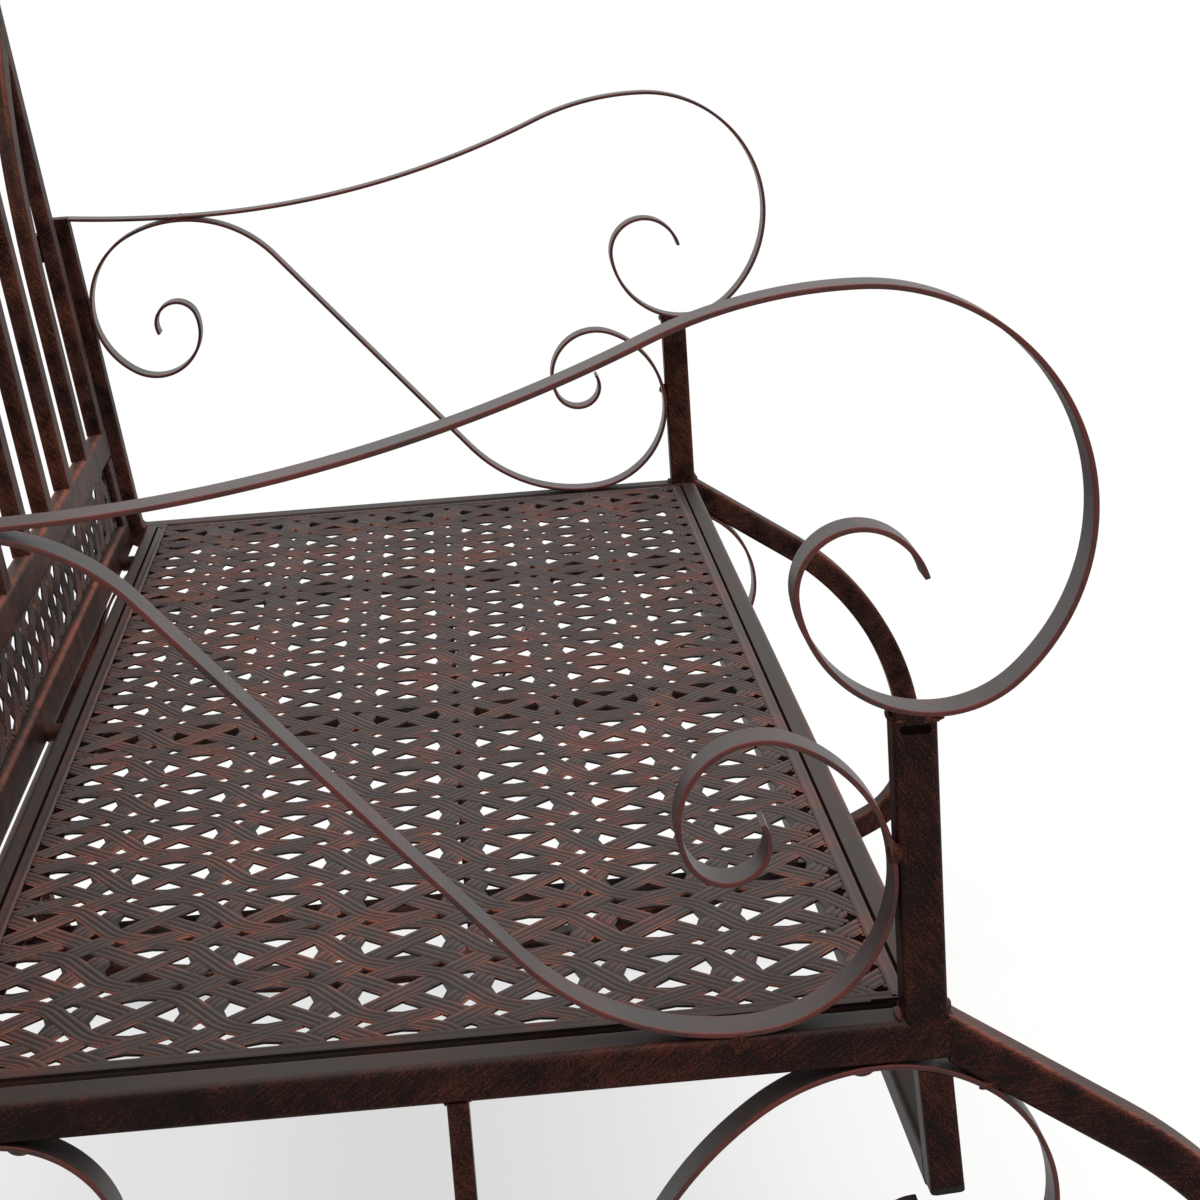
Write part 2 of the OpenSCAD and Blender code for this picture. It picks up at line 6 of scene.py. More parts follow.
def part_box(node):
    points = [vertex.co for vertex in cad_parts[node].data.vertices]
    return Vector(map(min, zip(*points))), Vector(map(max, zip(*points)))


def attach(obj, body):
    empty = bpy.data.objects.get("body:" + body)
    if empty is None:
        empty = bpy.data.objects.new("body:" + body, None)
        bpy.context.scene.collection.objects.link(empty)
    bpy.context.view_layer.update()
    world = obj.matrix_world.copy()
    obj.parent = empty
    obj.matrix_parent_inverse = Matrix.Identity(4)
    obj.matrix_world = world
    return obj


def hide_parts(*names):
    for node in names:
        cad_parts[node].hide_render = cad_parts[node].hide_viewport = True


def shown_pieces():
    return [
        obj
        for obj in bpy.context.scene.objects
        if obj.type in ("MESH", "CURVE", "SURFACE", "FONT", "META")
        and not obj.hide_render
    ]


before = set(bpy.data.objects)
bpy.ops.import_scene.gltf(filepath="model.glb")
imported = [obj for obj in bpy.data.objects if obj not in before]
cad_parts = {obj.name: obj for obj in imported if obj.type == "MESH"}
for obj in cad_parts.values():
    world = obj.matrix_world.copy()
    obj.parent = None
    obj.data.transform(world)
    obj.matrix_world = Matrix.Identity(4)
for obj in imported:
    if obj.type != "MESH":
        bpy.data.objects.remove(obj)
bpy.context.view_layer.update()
rad = np.radians
print("frame loaded:", len(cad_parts), "nodes")

# Sizes that the whole bench shares, in millimetres. u runs back from the seat's front face and
# v up from the seat's top, so a point of a side frame is (side, u, v)
bench = {
    "frontY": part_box("front_rail")[0].y * 1000,
    "seatTop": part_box("front_rail")[1].z * 1000,
    "halfLength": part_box("side_rail_right")[1].x * 1000,
    "seatDepth": 472, "tube": 20, "tubeCorner": 3,
    "bar": 20, "barThick": 2.5, "barCorner": 0.7,
    "lean": 7, "backGap": 11, "slat": 25, "slatThick": 12.5,
    "clear": 0.1,   # between a bar and what it lies against
}
sidePlane = bench["halfLength"] - bench["tube"] / 2
innerHalf = bench["halfLength"] - bench["tube"]
backU = bench["seatDepth"] + bench["backGap"]
leanAngle = rad(bench["lean"])
half = bench["barThick"] / 2
halfTube = bench["tube"] / 2


# A mesh from vertices in millimetres, four-sided faces, end faces, and what the materials read:
# the map (length along the piece, way round it) in metres, and how much each point gets rubbed
def addPiece(name, verts, quads, ends=(), uv=None, marks=None, sharp=35):
    mesh = bpy.data.meshes.new(name)
    faces = quads.tolist() + [list(e) for e in ends]
    mesh.from_pydata((verts / 1000).tolist(), [], faces)
    if uv is not None:
        layer = mesh.uv_layers.new(name="surface")
        spare = sum(len(e) for e in ends)
        flat = np.concatenate([uv.reshape(-1, 2), np.zeros((spare, 2))]) / 1000
        layer.data.foreach_set("uv", flat.ravel())
    for key, values in (marks or {}).items():
        spot = mesh.attributes.new(key, "FLOAT", "POINT")
        spot.data.foreach_set("value", np.asarray(values, np.float32))
    mesh.shade_smooth()
    mesh.set_sharp_from_angle(angle=rad(sharp))
    piece = bpy.data.objects.new(name, mesh)
    bpy.context.scene.collection.objects.link(piece)
    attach(piece, "root")
    return piece


# The quads of a grid of rows by columns, and the map of their corners; wrap joins the last column to the
# first, and flip turns the faces round
def gridFaces(rows, cols, along, around, wrap=True, flip=False):
    i, j = np.meshgrid(np.arange(rows - 1), np.arange(cols if wrap else cols - 1), indexing="ij")
    i, j = i.ravel(), j.ravel()
    k = (j + 1) % cols
    quads = np.stack([i * cols + j, i * cols + k, (i + 1) * cols + k, (i + 1) * cols + j], 1)
    uv = np.stack([np.stack([along[i], around[j]], 1), np.stack([along[i], around[j + 1]], 1),
                   np.stack([along[i + 1], around[j + 1]], 1),
                   np.stack([along[i + 1], around[j]], 1)], 1)
    if flip:
        quads, uv = quads[:, ::-1], uv[:, ::-1]
    return quads, uv


# How far along each point of a row lies, which is the sum of the steps before it
def runLength(points):
    return np.concatenate([[0], np.cumsum(np.linalg.norm(np.diff(points, axis=0), axis=1))])


# The four corners of a rectangle, where each starts to turn and on which sides it lies
corners = ((0, 1, 1), (90, -1, 1), (180, -1, -1), (270, 1, -1))
# How the brush wears a bar: how steeply the rub falls beside a corner, how sharply the way that a point
# faces turns there, and how soon a slope counts as facing up
wear = {"steep": 1.4, "flat": 7, "upward": 1.4}


# A rounded rectangle as points, with the rub of each: 1 on the corners, falling off beside them. Each
# corner is a quarter circle, and each flat has a few more points near its ends, where the rub falls
def barSection(width, depth, corner, fall=1.6):
    steps = (0.9, 2.2, 4.2)   # how far those points lie from a corner
    halfs = np.array([width / 2 - corner, depth / 2 - corner])
    points = []
    for turn, sx, sy in corners:
        angle = rad(turn + np.linspace(0, 90, 5))
        points.append(np.stack([sx * halfs[0] + corner * np.cos(angle),
                                sy * halfs[1] + corner * np.sin(angle)], 1))
        run = 2 * halfs[0] if turn % 180 == 0 else 2 * halfs[1]
        insets = [d for d in steps if d < run / 2 - 0.2]
        insets = np.array(insets + [run - d for d in insets[::-1]])
        heading = rad(turn + 180)
        points.append(points[-1][-1] + insets[:, None] * np.array([np.cos(heading), np.sin(heading)]))
    section = np.concatenate(points)
    gap = np.stack([width / 2 - np.abs(section[:, 0]), depth / 2 - np.abs(section[:, 1])], 1)
    fromEdge = np.clip(np.max(gap, axis=1) - corner, 0, None)
    return section, np.clip(1 - fromEdge / fall, 0, 1) ** wear["steep"]


# A section carried along a path: every ring is path point + section x * across + section y * normal.
# The rub grows with how far a point faces up, so upper edges get more of it
def sweep(name, path, across, normal, section, rub, trim=None, upper=0.7):
    path, across, normal = (np.asarray(a, float) for a in (path, across, normal))
    across = np.broadcast_to(across, path.shape)
    rings = (path[:, None] + section[None, :, :1] * across[:, None]
             + section[None, :, 1:] * normal[:, None])
    if trim is not None:
        rings = trim(rings)
    rows, cols = rings.shape[:2]
    along, around = runLength(path), runLength(np.concatenate([section, section[:1]]))
    flip = np.dot(np.cross(across[0], normal[0]), path[1] - path[0]) < 0
    quads, uv = gridFaces(rows, cols, along, around, flip=flip)
    first, last = list(range(cols)), [(rows - 1) * cols + k for k in range(cols)]
    ends = [first, last[::-1]] if flip else [first[::-1], last]
    facing = (section / np.abs(section).max(axis=0)) ** wear["flat"]
    facing /= np.linalg.norm(facing, axis=1)[:, None]
    up = facing[None, :, 0] * across[:, None, 2] + facing[None, :, 1] * normal[:, None, 2]
    edge = rub[None, :] * (1 - upper + upper * np.clip(wear["upward"] * up, 0, 1))
    # top, how far a point faces up, also carries the painted grey sheen of the upper faces
    return addPiece(name, rings.reshape(-1, 3), quads, ends, uv,
                    {"rub": edge.ravel(), "top": np.clip(up, 0, 1).ravel()})


# A path in a side frame: straight runs (0, length) and bends (radius, degrees), as points and headings. A
# bend is its hub, a radius to the side of the heading, plus that radius turned through its degrees. step
# and longStep are how far apart the points lie in bends and in straight runs
def bendPath(runs, start, heading, step=2.2, longStep=12):
    places, headings = [np.array([start], float)], [np.array([float(heading)])]
    at, facing = np.array(start, float), float(heading)
    for radius, amount in runs:
        if radius == 0:
            count = max(2, int(abs(amount) / longStep))
            t = np.linspace(0, 1, count + 1)[1:]
            spots = at + t[:, None] * amount * np.array([np.cos(rad(facing)), np.sin(rad(facing))])
            turned = np.full(count, facing)
        else:
            count = max(3, int(abs(rad(amount)) * radius / step))
            t = np.linspace(0, 1, count + 1)[1:]
            sign = np.sign(amount)
            hub = at + sign * radius * np.array([-np.sin(rad(facing)), np.cos(rad(facing))])
            angles = rad(facing + t * amount)
            spots = hub + sign * radius * np.stack([np.sin(angles), -np.cos(angles)], 1)
            turned = facing + t * amount
            facing += amount
        places.append(spots)
        headings.append(turned)
        at = spots[-1]
    return np.concatenate(places), np.concatenate(headings)


# Two paths that leave one point, the first of them backwards, joined into one
def twoWays(backRuns, runs, start, heading):
    back, backHead = bendPath(backRuns, start, heading + 180)
    fore, foreHead = bendPath(runs, start, heading)
    return np.concatenate([back[::-1], fore[1:]]), np.concatenate([backHead[::-1] + 180, foreHead[1:]])


# Places (u, v) of a side frame as points of the bench
def sidePoints(x, places):
    return np.stack([np.full(len(places), float(x)), bench["frontY"] + places[:, 0],
                     bench["seatTop"] + places[:, 1]], 1)


# The way square to each heading, which is the heading turned by 90 degrees in the side frame
def sideNormals(headings):
    return np.stack([np.zeros(len(headings)), -np.sin(rad(headings)), np.cos(rad(headings))], 1)


acrossX = np.array([1.0, 0, 0])
tubeSection, tubeRub = barSection(bench["tube"], bench["tube"], bench["tubeCorner"])
flatSection, flatRub = barSection(bench["bar"], bench["barThick"], bench["barCorner"], 0.8)
slatSection, slatRub = barSection(bench["slat"], bench["slatThick"], bench["tubeCorner"])
sides = {"left": -1, "right": 1}


# A bar of one side frame, in place of the solid of that name
def sideBar(name, side, places, headings, section, rub, slotName, trim=None, upper=0.7):
    piece = sweep(f"{name}_{side}_steel", sidePoints(sides[side] * sidePlane, places), acrossX,
                  sideNormals(headings), section, rub, trim, upper)
    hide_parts(f"{name}_{side}")


# The arm: the bend over the front, then the long double curve back to the upright; curl is the scroll
# that sits on the front post. Radii in millimetres and turns in degrees, from its lowest point. The
# curl's last bend stops at 42 degrees, as in the photograph, and the solid's goes on to 75
arm = {"low": 143.5, "ahead": 2, "backFrom": 200,
       "front": [(54, -41), (100.5, -137), (220, -24.5), (755, 22), (1044, 24)],
       "curl": [(61.5, 83), (28, 131), (33, 42)]}
# The S of each end, from where it touches the arm: radii, and the turns of its two ends
scroll = {"top": 100, "topTurn": 25, "back": 65, "low": 126, "fore": 69, "lead": 4.4,
          "rear": [(37.5, -140), (17.5, -190)], "rearTurn": -123,
          "front": [(37.6, -135), (20, -90), (17.3, -98)], "frontTurn": -154}
# The two scrolls under the side rail and the strut between them
under = {"strut": 223, "strutWide": 10, "root": 84, "next": 69, "front": [(56, 90), (29.5, 90), (23, 90)],
         "strutCorner": 1.5, "strutFoot": 6,
         "tail": 102, "tailTurn": 35, "fall": 184, "fallTurn": 60, "foot": 60,
         "rearCrown": 39, "rear": [(55, 90), (48, 90), (30, 90), (18, 90)], "rearRun": 60}
rocker = {"reach": 179, "slope": 34.5, "runnerRadius": 1100, "runnerLow": 94, "frontBend": 70,
          "rearBend": 100, "startV": -10.4, "run": 8, "legTop": 10, "rake": 19, "legSet": 5.5}
uprightDepth = bench["slatThick"] - halfTube


# The front face of the leaning upright at a height v
def uprightFront(v):
    return backU + v * np.tan(leanAngle) + (uprightDepth - halfTube) / np.cos(leanAngle)


# The arm's path, cut where it meets the upright's front face
armPlaces, armHeads = twoWays(arm["front"], arm["curl"], (-arm["ahead"], arm["low"]), 0)
lastKept = np.flatnonzero(armPlaces[:, 0] < uprightFront(armPlaces[:, 1]))
armPlaces, armHeads = armPlaces[lastKept[0] - 1:], armHeads[lastKept[0] - 1:]
armPlaces[0] = armPlaces[1] + (armPlaces[0] - armPlaces[1]) * (
    (uprightFront(armPlaces[1, 1]) - armPlaces[1, 0]) / (armPlaces[0, 0] - armPlaces[1, 0]))
armEnd = armPlaces[0, 1]
armBack = armPlaces[armPlaces[:, 0] > arm["backFrom"]]   # behind the bend, one height for each place


# The height of the arm's middle over a place u behind its front bend
def armHeight(u):
    return np.interp(u, armBack[::-1, 0], armBack[::-1, 1])


# The S hangs under the arm so far back that its rear bend lies against the upright. Its straight run is
# the common tangent of the bends at its two ends
scrollStep = (scroll["top"] - scroll["back"]) * np.array([np.sin(rad(scroll["topTurn"])),
                                                          np.cos(rad(scroll["topTurn"]))])
scrollOff = (scroll["back"] + half + bench["clear"]) / np.cos(leanAngle) + scrollStep[0]
scrollU = bench["seatDepth"]
for again in range(4):   # settles to well under a hundredth of a millimetre
    scrollU = uprightFront(armHeight(scrollU) - bench["barThick"] - scroll["top"] + scrollStep[1])
    scrollU -= scrollOff
scrollTop = np.array([scrollU, armHeight(scrollU) - bench["barThick"]])
reachFront = scroll["low"] * np.sin(rad(scroll["lead"])) + scroll["fore"] * (1 - np.sin(rad(scroll["lead"])))
scrollLow = np.array([bench["tube"] + half + reachFront, half])
hubs = scrollTop - [0, scroll["top"]] - scrollLow - [0, scroll["low"]]
bothRadii = scroll["top"] + scroll["low"]
scrollTurn = np.degrees(np.arctan2(hubs[1], hubs[0]) + np.arcsin(bothRadii / np.hypot(*hubs)))
scrollRun = np.sqrt(hubs @ hubs - bothRadii ** 2)
scrollRear = [(scroll["top"], -scroll["topTurn"]), (scroll["back"], scroll["rearTurn"])] + scroll["rear"]
scrollFore = [(scroll["top"], scrollTurn), (0, scrollRun), (scroll["low"], -scrollTurn - scroll["lead"]),
              (scroll["fore"], scroll["frontTurn"])] + scroll["front"]
scrollPlaces, scrollHeads = twoWays(scrollRear, scrollFore, scrollTop, 180)

# The front scroll under the rail follows the rocker's slope, then runs down to the strut
underV = -bench["tube"] - half
slope, rake = rad(rocker["slope"]), rad(rocker["rake"])
hug = (bench["tube"] + bench["barThick"]) / 2 + bench["clear"]
hugU = (underV - rocker["startV"] + hug / np.cos(slope)) / np.tan(slope)
frontCrown = np.array([hugU + under["root"] * np.tan(slope / 2), underV])
frontCurl = [(under["root"], rocker["slope"]), (under["next"], 90 - rocker["slope"])] + under["front"]
strutFace = under["strut"] - under["strutWide"] / 2 - half
tailTurn, fallTurn = rad(under["tailTurn"]), rad(under["fallTurn"])
tailReach = (under["tail"] * np.sin(tailTurn) + under["fall"] * (np.sin(fallTurn) - np.sin(tailTurn))
             + under["foot"] * (1 - np.sin(fallTurn)))
tailRun = (strutFace - frontCrown[0] - tailReach) / np.cos(fallTurn)
frontTail = [(under["tail"], -under["tailTurn"]), (under["fall"], under["tailTurn"] - under["fallTurn"]),
             (0, tailRun), (under["foot"], under["fallTurn"] - 90)]
legU = backU + bench["slatThick"] / np.cos(leanAngle) + rocker["legSet"]
rearCrown = np.array([bench["seatDepth"] - under["rearCrown"], underV])
legWay = np.cos(rake) * (rearCrown[0] - legU) + np.sin(rake) * underV + hug
rearTail = [(-legWay / (1 - np.sin(rake)), rocker["rake"] - 90), (0, under["rearRun"])]

# The four flat bars of each end, as places and headings
flatBars = {"arm": (armPlaces, armHeads), "side_scroll": (scrollPlaces, scrollHeads),
            "front_under_scroll": twoWays(frontCurl, frontTail, frontCrown, 0),
            "rear_under_scroll": twoWays(under["rear"], rearTail, rearCrown, 0)}
for side in sides:
    for name, (places, headings) in flatBars.items():
        sideBar(name, side, places, headings, flatSection, flatRub, "flat_bar", upper=0.3)
print("arms and scrolls done")

# The rocker: down the slope, round the front bend, along the runner, round the rear bend, up the leg
lowU = bench["seatDepth"] / 2 + rocker["runnerLow"]
hubV = rocker["runnerRadius"] - bench["seatTop"]
lineRadius = rocker["runnerRadius"] - halfTube
frontSpan = lowU + rocker["reach"] - rocker["frontBend"]
frontRise = np.sqrt((lineRadius - rocker["frontBend"]) ** 2 - frontSpan ** 2)
frontAngle = np.degrees(np.arctan2(frontSpan, frontRise))
drop = rocker["startV"] - (hubV - frontRise) - rocker["run"]
straightRun = rocker["reach"] * np.cos(slope) / (1 - np.sin(slope)) - drop
frontRadius = (np.cos(slope) * drop - np.sin(slope) * rocker["reach"]) / (1 - np.sin(slope))
legK = rocker["rearBend"] + np.cos(rake) * (lowU - legU) + np.sin(rake) * hubV
rearAngle = rocker["rake"] - np.degrees(np.arcsin(legK / (lineRadius - rocker["rearBend"])))
rearHub = np.array([lowU, hubV]) + (lineRadius - rocker["rearBend"]) * np.array(
    [np.sin(rad(rearAngle)), -np.cos(rad(rearAngle))])
legFoot = rearHub + rocker["rearBend"] * np.array([np.cos(rake), np.sin(rake)])
legLength = (rocker["legTop"] - legFoot[1]) / np.cos(rake)
rockerRuns = [(0, straightRun), (frontRadius, 90 - rocker["slope"]), (0, rocker["run"]),
              (rocker["frontBend"], 90 - frontAngle), (lineRadius, frontAngle), (lineRadius, rearAngle),
              (rocker["rearBend"], 90 + rocker["rake"] - rearAngle), (0, legLength)]


# Slides the first ring along the tube's own run until it lies on the plane of the seat's front face
def rockerStart(rings):
    run = rings[1] - rings[0]
    rings[0] += run * ((bench["frontY"] - rings[0][:, 1]) / run[:, 1])[:, None]
    return rings


# The upright's foot bends out of the side rail's line. Its run stops 20 mm short, for its top to be cut
uprightLength = (armEnd + half) / np.cos(leanAngle)
footRadius = (bench["backGap"] * np.cos(leanAngle) + uprightDepth - halfTube * np.sin(leanAngle)) / (
    1 - np.sin(leanAngle))
uprightRuns = [(footRadius, 90 - bench["lean"]), (0, uprightLength - 20)]


# Slides the last ring along the upright's own run until it lies level with the top of the arm's end
def uprightEnd(rings):
    run = rings[-1] - rings[-2]
    rings[-1] += run * ((bench["seatTop"] + armEnd + half - rings[-1][:, 2]) / run[:, 2])[:, None]
    return rings


# The front post's end follows the arm's curl that sits on it
def postEnd(rings):
    radius = arm["curl"][0][0] + half
    hubY, hubZ = bench["frontY"] - arm["ahead"], bench["seatTop"] + arm["low"] + arm["curl"][0][0]
    rings[-1][:, 2] = hubZ - np.sqrt(radius ** 2 - (rings[-1][:, 1] - hubY) ** 2)
    return rings


# The stub hangs under the front corner, leaning a little to the front
stub = {"u": 7, "lean": 3.5, "length": 61, "deep": 16, "from": 2, "rings": 6}
stubSection, stubRub = barSection(bench["tube"], stub["deep"], bench["tubeCorner"])
stubLean = rad(stub["lean"])
stubWay = np.array([-np.sin(stubLean), -np.cos(stubLean)])
stubTop = np.array([stub["u"], -bench["tube"] - bench["barThick"]])


# Slides the stub's first ring along its own run until it lies on the inner face of the scroll
def stubEnd(rings):
    radius = under["root"] - half - bench["clear"]
    hubY = bench["frontY"] + frontCrown[0]
    hubZ = bench["seatTop"] + frontCrown[1] - under["root"]
    for again in range(4):   # the face curves, so a few steps are needed
        top = hubZ + np.sqrt(radius ** 2 - (rings[0][:, 1] - hubY) ** 2)
        run = rings[0] - rings[1]
        rings[0] += run * ((top - rings[0][:, 2]) / run[:, 2])[:, None]
    return rings


# The post's foot reaches down over the rail's rounded edge, as a post that is ground flush there
postPlaces = np.array([[halfTube, v] for v in (-bench["tubeCorner"], 40, 100, arm["low"])])
strutSection, strutRub = barSection(bench["bar"], under["strutWide"], under["strutCorner"])
stubPlaces = stubTop + np.outer(np.linspace(stub["from"], stub["length"], stub["rings"]), stubWay)
for side in sides:
    sideBar("rocker", side, *bendPath(rockerRuns, (0, rocker["startV"]), 180 + rocker["slope"], 6),
            tubeSection, tubeRub, "frame_tube", rockerStart)
    sideBar("rear_upright", side, *bendPath(uprightRuns, (bench["seatDepth"], -halfTube), 0, 2),
            tubeSection, tubeRub, "frame_tube", uprightEnd)
    sideBar("front_post", side, postPlaces, np.full(len(postPlaces), 90.0), tubeSection, tubeRub,
            "frame_tube", postEnd)
    # strutFoot is how far its foot ends above the solid's lowest corner, a little clear of the runner
    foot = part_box(f"strut_{side}")[0].z * 1000 + under["strutFoot"] - bench["seatTop"]
    sideBar("strut", side, np.array([[under["strut"], foot], [under["strut"], -bench["tube"]]]),
            np.full(2, 90.0), strutSection, strutRub, "frame_tube")
    sideBar("stub", side, stubPlaces, np.full(stub["rings"], 270.0 - stub["lean"]), stubSection, stubRub,
            "frame_tube", stubEnd)


# A straight tube along X through a place (u, v), turned by tilt degrees
def crossTube(name, u, v, halfLength, tilt=0, section=tubeSection, rub=tubeRub):
    x = np.array([-1, -0.999, 0.999, 1]) * halfLength
    path = np.stack([x, np.full(4, bench["frontY"] + u), np.full(4, bench["seatTop"] + v)], 1)
    c, s = np.cos(rad(tilt)), np.sin(rad(tilt))
    piece = sweep(f"{name}_steel", path, np.array([0, c, s]), np.tile([0, -s, c], (4, 1)), section, rub)
    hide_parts(name)


# The middle of a solid's box along an axis, in millimetres
def middle(box, axis):
    return (box[0][axis] + box[1][axis]) * 500


crossTube("front_rail", halfTube, -halfTube, innerHalf)
crossTube("back_rail", bench["seatDepth"] - halfTube, -halfTube, innerHalf)
stretchSection, stretchRub = barSection(stub["deep"], bench["tube"], bench["tubeCorner"])
frontStretch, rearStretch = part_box("front_stretcher"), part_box("rear_stretcher")
crossTube("front_stretcher", middle(frontStretch, 1) - bench["frontY"],
          middle(frontStretch, 2) - bench["seatTop"], innerHalf, -stub["lean"], stretchSection, stretchRub)
crossTube("rear_stretcher", middle(rearStretch, 1) - bench["frontY"],
          middle(rearStretch, 2) - bench["seatTop"], innerHalf, rocker["rake"])
for side in sides:
    u = np.array([0.0, 1, bench["seatDepth"] - 1, bench["seatDepth"]])
    sideBar("side_rail", side, np.stack([u, np.full(4, -halfTube)], 1), np.zeros(4), tubeSection, tubeRub,
            "frame_tube")
print("rockers, posts and rails done")

# The back leans as one plane: posts, slats, two band rails and an arched top rail in flat tube
back = {"inset": 41, "endHeight": 505, "rise": 72, "pitch": 106, "slats": 9, "bandLow": -13,
        "bandHeight": 55, "bend": 245, "bendFrom": 226, "bendPast": 5, "bendRings": 30, "railRings": 121,
        # how far slats run into the band rail and the top rail, how far from the posts' middle the bent
        # ones end, where a slat's middle rings lie, and how much short it stops, for its end to be cut
        "inBand": 0.5, "inRail": 1, "offPost": 6, "ringsAt": (200, 350), "short": 40}
backX = bench["halfLength"] - back["inset"]
postX = backX - bench["slat"] / 2
topRadius = (backX ** 2 + back["rise"] ** 2) / (2 * back["rise"])
topHub = back["endHeight"] + back["rise"] - topRadius
bandTop = back["bandLow"] + bench["slat"] + back["bandHeight"]
slatFoot = bandTop + bench["slat"] - back["inBand"]


# A point of the leaning back: x along the bench, y behind its front face, s up the slope
def backPoints(x, y, s):
    x, y, s = np.broadcast_arrays(np.asarray(x, float), np.asarray(y, float), np.asarray(s, float))
    return np.stack([x, bench["frontY"] + backU + y * np.cos(leanAngle) + s * np.sin(leanAngle),
                     bench["seatTop"] - y * np.sin(leanAngle) + s * np.cos(leanAngle)], -1)


backNormal = np.array([0, np.cos(leanAngle), -np.sin(leanAngle)])
backUp = np.array([0, np.sin(leanAngle), np.cos(leanAngle)])


# A flat tube of the back along points (x, s); its wide side faces the sitter
def backTube(name, x, s, trim=None):
    path = backPoints(x, bench["slatThick"] / 2, s)
    way = np.gradient(path, axis=0)
    way /= np.linalg.norm(way, axis=1)[:, None]
    across = np.cross(way, backNormal)
    piece = sweep(f"{name}_steel", path, across, np.tile(backNormal, (len(path), 1)), slatSection, slatRub,
                  trim)
    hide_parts(name)


# The upper end of a slat or post follows the underside of the top rail, a little inside it
def slatEnd(rings):
    s = (rings[-1] - backPoints(0, bench["slatThick"] / 2, 0)) @ backUp
    wanted = topHub + np.sqrt((topRadius - bench["slat"] + back["inRail"]) ** 2 - rings[-1][:, 0] ** 2)
    rings[-1] += (wanted - s)[:, None] * backUp
    return rings


# The bent slats end inside the posts
def inPosts(rings):
    reach = postX - back["offPost"]
    rings[..., 0] = np.clip(rings[..., 0], -reach, reach)
    return rings


# The top rail ends upright, on the posts' outer faces
def railEnds(rings):
    rings[0, :, 0], rings[-1, :, 0] = -backX, backX
    return rings


topS = topHub + topRadius - bench["slat"]
for i in range(2, back["slats"]):
    x = (i - (back["slats"] + 1) / 2) * back["pitch"]
    s = np.array([slatFoot, *back["ringsAt"], topS - back["short"]])
    backTube(f"slat_{i}", np.full(4, x), s, slatEnd)
for side, sign in sides.items():
    s = np.array([slatFoot, *back["ringsAt"], back["endHeight"] - back["short"]])
    backTube(f"back_post_{side}", np.full(4, sign * postX), s, slatEnd)
    s = np.array([bandTop - back["bandHeight"], bandTop])
    backTube(f"band_end_{side}", np.full(2, sign * postX), s)
    x = (back["slats"] - 1) / 2 * back["pitch"]
    gap = postX - bench["slat"] / 2 - x
    most = np.degrees(np.arccos(1 - gap / back["bend"])) + back["bendPast"]
    turn = np.linspace(0, most, back["bendRings"])
    bendX = np.concatenate([[x, x], x + back["bend"] * (1 - np.cos(rad(turn)))])
    bendS = np.concatenate([[slatFoot, (slatFoot + back["inBand"] + back["bendFrom"]) / 2],
                            back["bendFrom"] + back["bend"] * np.sin(rad(turn))])
    backTube(f"slat_{1 if sign < 0 else back['slats']}", sign * bendX, bendS, inPosts)
ends = np.array([-backX, -backX + 1, backX - 1, backX])
backTube("band_top_rail", ends, np.full(4, bandTop + bench["slat"] / 2))
backTube("band_low_rail", ends, np.full(4, back["bandLow"] + bench["slat"] / 2))
x = np.linspace(-backX, backX, back["railRings"])
backTube("top_rail", x, topHub + np.sqrt((topRadius - bench["slat"] / 2) ** 2 - x ** 2), railEnds)
print("back done")

# The strapwork: two families of straight straps cross in the middle of each ring, and two families of
# wavy ones make the rings. Each strap is pressed with ridges along it and dips under its neighbours
weave = {"tile": 63.5, "ringRadius": 28, "half": 6.4, "waveHalf": 5.85, "depth": 0.9, "third": -0.07,
         "rise": 0.42, "ridge": 0.34, "ridges": 3, "droop": 0.35, "sink": 1.0, "rimFrom": 0.84,
         "dipBefore": 0.9, "dipAfter": 0.5, "offX": 9.3, "offY": 10.5, "edge": 8,
         "waveStep": 2.4, "straightStep": 3.0, "acrossSteps": 6, "droopPower": 6, "span": 0.8,
         "slant": 0.95, "buried": 0.98}
halfRoot = np.sqrt(0.5)
pitch = weave["tile"] * halfRoot
waveDeep = weave["depth"] * abs((weave["tile"] - 2 * weave["ringRadius"] * halfRoot) * halfRoot - pitch / 2)
strapHalf = {"down": weave["half"], "up": weave["half"], "waveUp": weave["waveHalf"],
             "waveDown": weave["waveHalf"]}


# Sideways way of a wavy strap k from its own straight line, at a distance s along it: a sine wave of
# the pitch with a little of its third harmonic
def waveOff(s, k):
    phase = (s / pitch - 0.5 - k) * np.pi
    return -waveDeep * (np.sin(phase) + weave["third"] * np.sin(3 * phase)) / (1 - weave["third"])


# How far a point lies from the nearest strap of a family, across it. p and q are the two slanting ways;
# a wavy strap's distance is a little less than the one along p or q, because it slants to them
def strapGap(x, y, family):
    p, q = (x + y) * halfRoot, (y - x) * halfRoot
    if family == "down":
        return np.abs(p - np.round(p / pitch) * pitch)
    if family == "up":
        return np.abs(q - np.round(q / pitch) * pitch)
    if family == "waveUp":
        k = np.round(q / pitch - 0.5)
        return np.abs(q - (k + 0.5) * pitch - waveOff(p, k)) * weave["slant"]
    k = np.round(p / pitch - 0.5)
    return np.abs(p - (k + 0.5) * pitch + waveOff(-q, -k - 1)) * weave["slant"]


# 0 below a, 1 above b, and three times the square less twice the cube between them
def smooth(a, b, value):
    t = np.clip((value - a) / (b - a), 0, 1)
    return t * t * (3 - 2 * t)


# Straps that pass over each family; the two wavy ones change over between the sides of a ring
over = {"down": ["waveUp"], "up": ["down"], "waveUp": ["waveDown"], "waveDown": ["up", "waveUp"]}


